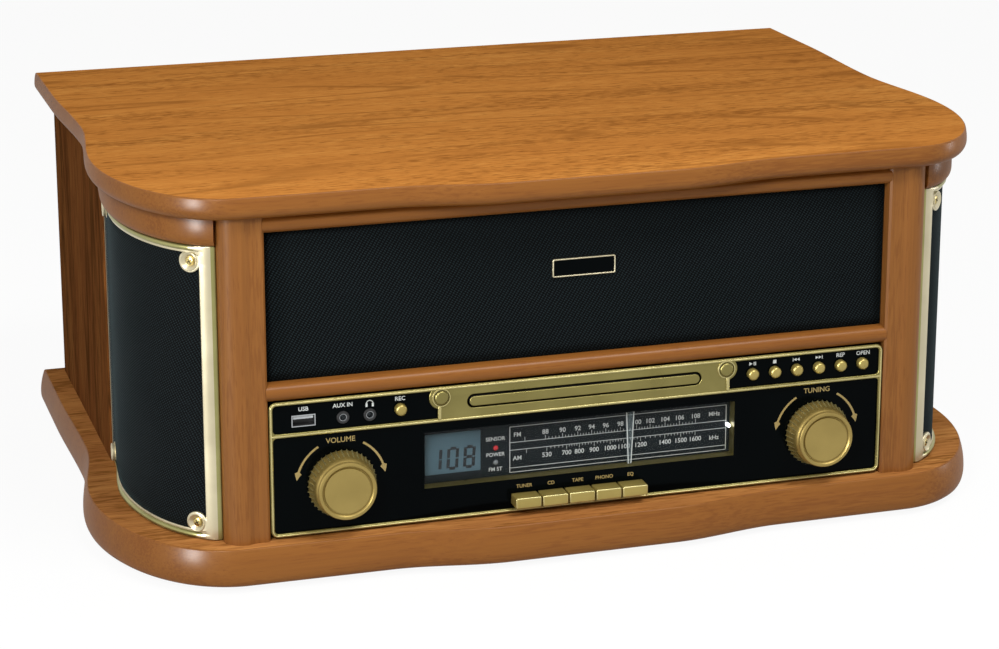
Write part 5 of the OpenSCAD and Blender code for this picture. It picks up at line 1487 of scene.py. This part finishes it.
    def pointer_lines(self) -> Part:
        """Two white lines that run down the tapered pointer, one along each edge.

        Returns:
            Points and quads.
        """
        z, half = self.pointer_z, self.pointer_half
        thin, thick = self.pointer_line
        rows = []
        for side in (-1, 1):
            low, high = (self.pointer_x + side * h for h in half)
            for y in self.pointer_y:
                rows += [[low - thin, y, z[0]], [low + thin, y, z[0]], [high + thick, y, z[1]],
                         [high - thick, y, z[1]]]
        faces = [[k + o for o in f] for k in (0, 8) for f in
                 ([0, 1, 2, 3], [7, 6, 5, 4], [0, 4, 5, 1], [1, 5, 6, 2], [2, 6, 7, 3], [3, 7, 4, 0])]
        return np.array(rows), faces

    def make(self) -> None:
        """Prints the scale, sets the display and lamps, and lines the pointer."""
        y = self.scale_y
        words = [wording(text, self.number_size, x, z, y)
                 for marks, z in zip((self.fm, self.am), self.number_z) for text, x in marks]
        words += [wording(text, size, x, z, y) for text, size, x, z in self.names]
        display = round_loop(self.lcd, 0.5, 3)
        surround = [round_loop(self.mask, 0.3, 2), round_loop(self.lcd, 0.5, 3, -0.05)]
        lip = [round_loop(self.lip, 0.4, 2), round_loop(self.lip, 0.2, 2, self.lip_wide)]
        pieces = [("scale_print", joined([self.rulings()] + words), PRINT_WHITE, "scale_slate"),
                  ("display_face", front_plate([display], self.lcd_y, y + 0.1, 0.1), LCD,
                   "display_grey"),
                  ("display_digits", self.digits(), LCD_INK, "display_grey"),
                  ("display_mask", front_plate(surround, y - 0.5, y - 0.02, 0.1), SLATE, "scale_slate"),
                  ("window_edge", front_plate(lip, -0.2, 0.0, 0.06), GLOSS_BLACK, "gloss_black")]
        pieces += [(name, lathe_y(self.lens, self.lamp_x, z, 24), finish, "display_grey")
                   for name, z, finish in self.lamps]
        pieces += [("scale_lamp", lathe_y(self.bulb, *self.bulb_at, 24), WHITE_LAMP, "display_grey")]
        for name, part, finish, slot in pieces:
            build(name, *part, finish)
        build("pointer_lines", *self.pointer_lines(), PRINT_WHITE, "pointer")


@dataclass
class PanelPrint:
    """Generic words, symbols and turning arrows printed on the black panel."""

    ink_y: float = -0.02
    symbol_z: float = 98.6
    usb: tuple[float, float] = (-160.4, 98.0)
    aux: tuple[float, float] = (-138.5, 98.0)
    record: tuple[float, float] = (-106.4, 98.6)
    phones: tuple[float, float] = (-123.5, 97.4)
    small: float = 3.3
    knob: tuple[float, float] = (140.0, 54.0)
    knob_words: tuple[tuple[str, float, float, float], ...] = (("VOLUME", 4.2, -140, 78.4),
                                                               ("TUNING", 4.2, 140, 79.0))
    key_words: tuple[tuple[str, float], ...] = (("TUNER", -35.4), ("CD", -19.7), ("TAPE", -4.0),
                                                ("PHONO", 11.7), ("EQ", 27.4))
    key_size: float = 2.9
    key_z: float = 40.4
    arrow_r: float = 25.0
    arrow_half: float = 0.6
    head_half: tuple[float, float] = (1.9, 0.02)
    arrows: tuple[tuple[float, float], ...] = ((120, 172), (60, 8))
    band_r: tuple[float, float] = (2.1, 1.65)
    pad_x: float = 1.75
    pad_half: float = 0.55
    pad_z: tuple[float, float] = (-1.7, 0.3)
    mark_half: float = 1.0
    skip_half: float = 0.9

    def arrow(self, x: float, z: float, a0: float, a1: float) -> Part:
        """Curved arrow: an arc of radius arrow_r that tapers to a pointed head.

        Args:
            x: Middle of the arc.
            z: Height of the arc's middle.
            a0: Angle in degrees at which it starts.
            a1: Angle in degrees at its tip.
        Returns:
            Points and faces.
        """
        steps, head = 24, 19
        a = np.radians(np.linspace(a0, a1, steps))
        step = np.arange(steps)
        half = np.where(step < head, self.arrow_half, np.interp(step, [head, steps - 1], self.head_half))
        y0, y1 = self.ink_y, self.ink_y - INK
        rings = [np.insert(circle(x, z, self.arrow_r + s * half, a), 1, y, axis=1)
                 for y, s in ((y0, -1), (y0, 1), (y1, 1), (y1, -1))]
        return np.stack(rings, 1), prism_faces(steps, 4)

    def headphones(self, x: float, z: float) -> list[Part]:
        """Headphone mark: a half ring over two upright pads.

        Args:
            x: Middle of the mark.
            z: Height of the band's centre.
        Returns:
            The band and the pads, as points and faces.
        """
        a = np.linspace(0, np.pi, 13)
        outer, inner = self.band_r
        band = np.concatenate([circle(x, z, outer, a), circle(x, z, inner, a[::-1])])
        points = np.concatenate([np.insert(band, 1, y, axis=1) for y in (self.ink_y, self.ink_y - INK)])
        pads = boxes([[pad - self.pad_half, pad + self.pad_half, self.ink_y - INK, self.ink_y,
                       z + self.pad_z[0], z + self.pad_z[1]]
                      for pad in (x - self.pad_x, x + self.pad_x)])
        return [(points, prism_faces(2, len(band))), pads]

    def triangle(self, x: float, way: float, size: float) -> Part:
        """Small triangle over a button.

        Args:
            x: Middle of the triangle.
            way: 1 to point right, or -1 to point left.
            size: Half its width and half its height.
        Returns:
            Points and faces.
        """
        corners = np.array([[x - way * size, self.symbol_z - size], [x - way * size, self.symbol_z + size],
                            [x + way * size, self.symbol_z]])
        points = np.concatenate([np.insert(corners, 1, y, axis=1) for y in (self.ink_y - INK, self.ink_y)])
        return points, [[0, 1, 2], [3, 5, 4], [0, 3, 4, 1], [1, 4, 5, 2], [2, 5, 3, 0]]

    def symbols(self, xs: Sequence[float]) -> list[Part]:
        """Play and pause, stop, back and forward marks, as small prisms.

        Args:
            xs: Middles of the buttons from play to eject.
        Returns:
            One part for each mark, and one for all the bars.
        """
        play, stop, back, forward = xs[:4]
        tall = self.mark_half
        bars = [[x - half, x + half, self.ink_y - INK, self.ink_y, self.symbol_z - tall,
                 self.symbol_z + tall]
                for x, half in ((play + 0.9, 0.25), (play + 1.8, 0.25), (stop, tall),
                                (back - 2.2, 0.2), (forward + 2.2, 0.2))]
        skips = [self.triangle(x + shift, way, self.skip_half)
                 for x, way in ((back, -1), (forward, 1)) for shift in (-1.0, 0.9)]
        return [self.triangle(play - 1.0, 1, tall), boxes(bars)] + skips

    def make(self, controls: PressControls) -> None:
        """Prints both inks.

        Args:
            controls: The buttons that the symbols stand over.
        """
        xs = [controls.button_x(i) for i in range(1, 7)]
        y = self.ink_y - INK / 2
        white = [wording(text, self.small, *at, y) for text, at in (
            ("USB", self.usb), ("AUX IN", self.aux), ("REC", self.record),
            ("REP", (xs[4], self.symbol_z)), ("OPEN", (xs[5] + 0.6, self.symbol_z)))]
        white += self.symbols(xs) + self.headphones(*self.phones)
        gold = [wording(*word, y) for word in self.knob_words]
        gold += [wording(text, self.key_size, x, self.key_z, y) for text, x in self.key_words]
        gold += [self.arrow(side * self.knob[0], self.knob[1], *turn) for side in (-1, 1)
                 for turn in self.arrows]
        for name, parts, finish in (("panel_print_white", white, PRINT_WHITE),
                                    ("panel_print_gold", gold, PRINT_GOLD)):
            build(name, *joined(parts), finish)


@dataclass
class PlatterMat:
    """Rubber mat with moulded rings; its rims are rows of radius and height."""

    centre: tuple[float, float] = (-30.0, 169.0)
    outer_rim: tuple[tuple[float, float], ...] = ((4.4, 172.0), (102.0, 172.0), (102.0, 173.7),
                                                  (101.4, 174.0), (97.0, 174.0))
    inner_rim: tuple[tuple[float, float], ...] = ((20.0, 174.0), (16.0, 173.5), (4.4, 173.5),
                                                  (4.4, 172.0))
    ribbed: tuple[float, float] = (96.0, 22.0)
    rib_z: float = 173.7
    rib: tuple[float, float] = (0.28, 3.4)

    def make(self) -> None:
        """Turns radius against height, with ribs that rise and fall as a cosine between two rims."""
        r = np.linspace(*self.ribbed, 220)
        high, pitch = self.rib
        ribs = np.stack([r, self.rib_z + high * np.cos((self.ribbed[0] - r) / pitch * 2 * np.pi)], 1)
        profile = np.concatenate([self.outer_rim, ribs, self.inner_rim])
        mat = build("mat", *turned(profile, (*self.centre, 0), (0, 0, 1), (1, 0, 0), 120), RUBBER,
                    "platter", 50.0)
        stands_for(mat, "platter_mat")


@dataclass
class RearRail:
    """Rail behind the deck that carries the hinges, with eased edges."""

    box: tuple[float, float, float, float] = (-229.0, 229.0, 192.0, 207.0)
    y: tuple[float, float] = (318.0, 330.0)

    def make(self) -> None:
        """Builds the rail as a plate seen from the front."""
        rail = build("rear_rail", *front_plate([round_loop(self.box, 0.8, 3)], *self.y, 0.6),
                     STAINED_EDGE)
        stands_for(rail, "top_rails")


# Finish of every CAD node that is still shown
DRESS: dict[Finish, tuple[str, ...]] = {
    VENEER_SIDE: ("side_panel_left", "side_panel_right"),
    BOARD_AND_SHADE_BLACK: ("rear_panel", "grille_panel", "speaker_cloths", "speaker_housings"),
    RUBBER: ("feet", "drive_belt"),
    STEEL: ("screws", "hinge_brackets", "lid_fittings", "lid_stay_arm", "phono_motor", "cd_chassis"),
    CONE_PAPER: ("speaker_drivers",),
    GLOSS_BLACK: ("fascia", "tape_door"),
    GOLD: ("dial_frame", "tape_key"),
    CHROME: ("front_sockets",),
    SLATE: ("dial_scale", "display_module"),
    CLEAR: ("dial_window",),
    CLEAR_POINTER: ("dial_pointer",),
    CIRCUIT: ("circuit_boards",),
    CORE: ("power_transformer",),
    DECK_BLACK: ("deck_plate",),
    BLACK_ABS_AND_SHADE: ("tonearm_base", "tape_chassis", "rear_sockets", "cd_tray", "cd_spindle",
                "speed_switch", "cue_lever", "tonearm_pivot"),
    PLATTER_ALLOY: ("platter",),
    BRASS: ("motor_pulley",),
    ARM_METAL: ("tonearm",),
}


def dress_nodes() -> None:
    """Gives each CAD node that is still shown its finish."""
    for finish, nodes in DRESS.items():
        for name in nodes:
            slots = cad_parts[name].data.materials
            slots.clear()
            slots.append(finish.material())
            log.info("%s: %s", name, finish.name)


@dataclass
class Studio:
    """Pale floor, soft lamps and the camera at the photograph's angle; places are in metres."""

    camera_at: tuple[float, float, float] = (-0.4778, -1.5315, 0.5778)
    look_at: tuple[float, float, float] = (-0.0476, -0.1522, 0.1900)
    lens: float = 99.21
    shift_y: float = -0.1001
    lit_at: tuple[float, float, float] = (0.0, 0.0, 0.12)
    floor_r: float = 8.0
    floor_colour: str = "#BABAB8"
    glow: float = 1.09
    glow_share: float = 0.85
    soft_light: float = 0.26

    def put(self, name: str, data: bpy.types.ID, at: Sequence[float], to: Sequence[float]) -> Piece:
        """Links a camera or lamp that stands at one place and points at another.

        Args:
            name: Name of the object.
            data: Its camera or lamp.
            at: Where it stands.
            to: Where it points.
        Returns:
            The new object.
        """
        obj = bpy.data.objects.new(name, data)
        bpy.context.scene.collection.objects.link(obj)
        obj.location = at
        obj.rotation_euler = aim(at, to)
        return obj

    def camera(self) -> None:
        """Points a 36 mm camera from camera_at to look_at."""
        data = bpy.data.cameras.new("camera")
        data.lens, data.sensor_width, data.shift_y = self.lens, 36.0, self.shift_y
        data.clip_end = 30.0
        bpy.context.scene.camera = self.put("camera", data, self.camera_at, self.look_at)

    def floor(self) -> None:
        """Round floor: a matt grey, mostly replaced by a plain white where seen() is 1."""
        turn = np.linspace(0, 2 * np.pi, 64, endpoint=False)
        mesh = bpy.data.meshes.new("floor")
        mesh.from_pydata(np.column_stack([circle(0.0, 0.0, self.floor_r, turn), 0 * turn]).tolist(), [],
                         [list(range(64))])
        obj = bpy.data.objects.new("floor", mesh)
        bpy.context.scene.collection.objects.link(obj)
        mat = bpy.data.materials.new("pale_floor")
        mat.use_nodes = True
        tree = mat.node_tree
        tree.nodes.clear()
        seen = self.seen(tree)
        matt = add(tree, "BsdfDiffuse", {"Color": linear(self.floor_colour)})
        glow = add(tree, "Emission", {"Color": (1, 1, 1, 1), "Strength": self.glow})
        share = add(tree, "Math", {0: seen, 1: self.glow_share}, operation="MULTIPLY")
        both = add(tree, "MixShader", {0: share.outputs["Value"], 1: matt.outputs[0], 2: glow.outputs[0]})
        add(tree, "OutputMaterial", {"Surface": both.outputs["Shader"]})
        mesh.materials.append(mat)

    def seen(self, tree: Tree) -> Socket:
        """1 for camera, glossy and transmission rays, and 0 for the rays that light things.

        Args:
            tree: Node tree of the floor or the world.
        Returns:
            Socket that is 1 or 0.
        """
        path = add(tree, "LightPath")
        some = add(tree, "Math", {0: path.outputs["Is Camera Ray"], 1: path.outputs["Is Glossy Ray"]},
                   operation="MAXIMUM")
        return add(tree, "Math", {0: some.outputs["Value"], 1: path.outputs["Is Transmission Ray"]},
                   operation="MAXIMUM").outputs["Value"]

    def world(self) -> None:
        """World that is white where it is seen or mirrored, and a plain grey light otherwise."""
        world = bpy.data.worlds.new("studio")
        bpy.context.scene.world = world
        world.use_nodes = True
        tree = world.node_tree
        tree.nodes.clear()
        seen = self.seen(tree)
        soft, white = (add(tree, "Background", {"Color": (1, 1, 1, 1), "Strength": strength})
                       for strength in (self.soft_light, 1.0))
        both = add(tree, "MixShader", {0: seen, 1: soft.outputs[0], 2: white.outputs[0]})
        add(tree, "OutputWorld", {"Surface": both.outputs["Shader"]})

    def lamp(self, name: str, at: tuple[float, float, float], wide: float, deep: float, power: float,
             lights: bool = True, shines: bool = True) -> None:
        """Soft lamp that faces the object and isn't itself in view.

        Args:
            name: The lamp's name.
            at: Its place in metres.
            wide: Its width in metres.
            deep: Its depth in metres.
            power: Its power in watts.
            lights: Whether it lights matt surfaces.
            shines: Whether lacquer and metal mirror it.
        """
        data = bpy.data.lights.new(name, "AREA")
        data.shape, data.size, data.size_y, data.energy = "RECTANGLE", wide, deep, power
        obj = self.put(name, data, at, self.lit_at)
        obj.visible_camera = False
        obj.visible_diffuse, obj.visible_glossy = lights, shines

    def make(self) -> None:
        """Sets the view transform and puts up the camera, floor, world and lamps."""
        bpy.context.scene.view_settings.view_transform = "Standard"
        self.camera()
        self.floor()
        self.world()
        self.lamp("key", (-0.7, -1.06, 0.85), 0.35, 0.35, 9.5)
        self.lamp("front", (0.35, -0.81, 1.35), 0.8, 0.3, 13.0)
        self.lamp("left", (-1.5, -0.81, 0.42), 0.12, 0.28, 3.9, shines=False)
        self.lamp("window", (-1.5, -0.98, 0.3), 0.36, 0.5, 36.0, lights=False)
        self.lamp("right", (1.7, -0.16, 0.2), 0.15, 0.3, 3.0)


def aim(at: Sequence[float], to: Sequence[float]) -> tuple[float, float, float]:
    """Turn that points a camera's or lamp's -Z from one place to another, level with the horizon."""
    x, y, z = (b - a for a, b in zip(at, to))
    return (math.pi / 2 + math.atan2(z, math.hypot(x, y)), 0.0, math.atan2(-x, y))


def main() -> None:
    """Builds the sub-assemblies in order."""
    logging.basicConfig(level=logging.INFO, format="%(message)s")
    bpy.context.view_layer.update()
    controls = PressControls()
    Studio().make()
    Board("plinth_board", "plinth", "cabinet", z=4.0, thickness=21.0, swell=3.08, under=2.4, belly=0.29,
          half_rear=253.4, half_waist=251.6, half_bulge=262.4, corner_deep=104.2, bow=9.2, rear=336,
          face=VENEER_LEDGE, recede=0.9, crisp=0.6).make()
    Board("lid_board", "lid", "lid", z=207.3, thickness=12.7, swell=4.38, under=5.4, belly=0.45,
          half_rear=247, half_waist=244, half_bulge=252, corner_deep=101, bow=9.5, rear=340,
          face=VENEER_TOP, recede=0.22, crisp=0.7).make()
    FrontWoodwork().make()
    RearRail().make()
    BackScrews().make()
    CornerPod().make()
    FrontCloth().make()
    PanelTrim().make()
    Knob("volume_grip", "volume_knob", "volume", -140.0).make()
    Knob("tuning_grip", "tuning_knob", "tuning", 140.0).make()
    controls.make()
    Sockets().make()
    Dial().make()
    PanelPrint().make(controls)
    PlatterMat().make()
    dress_nodes()


if __name__ == "__main__":
    main()
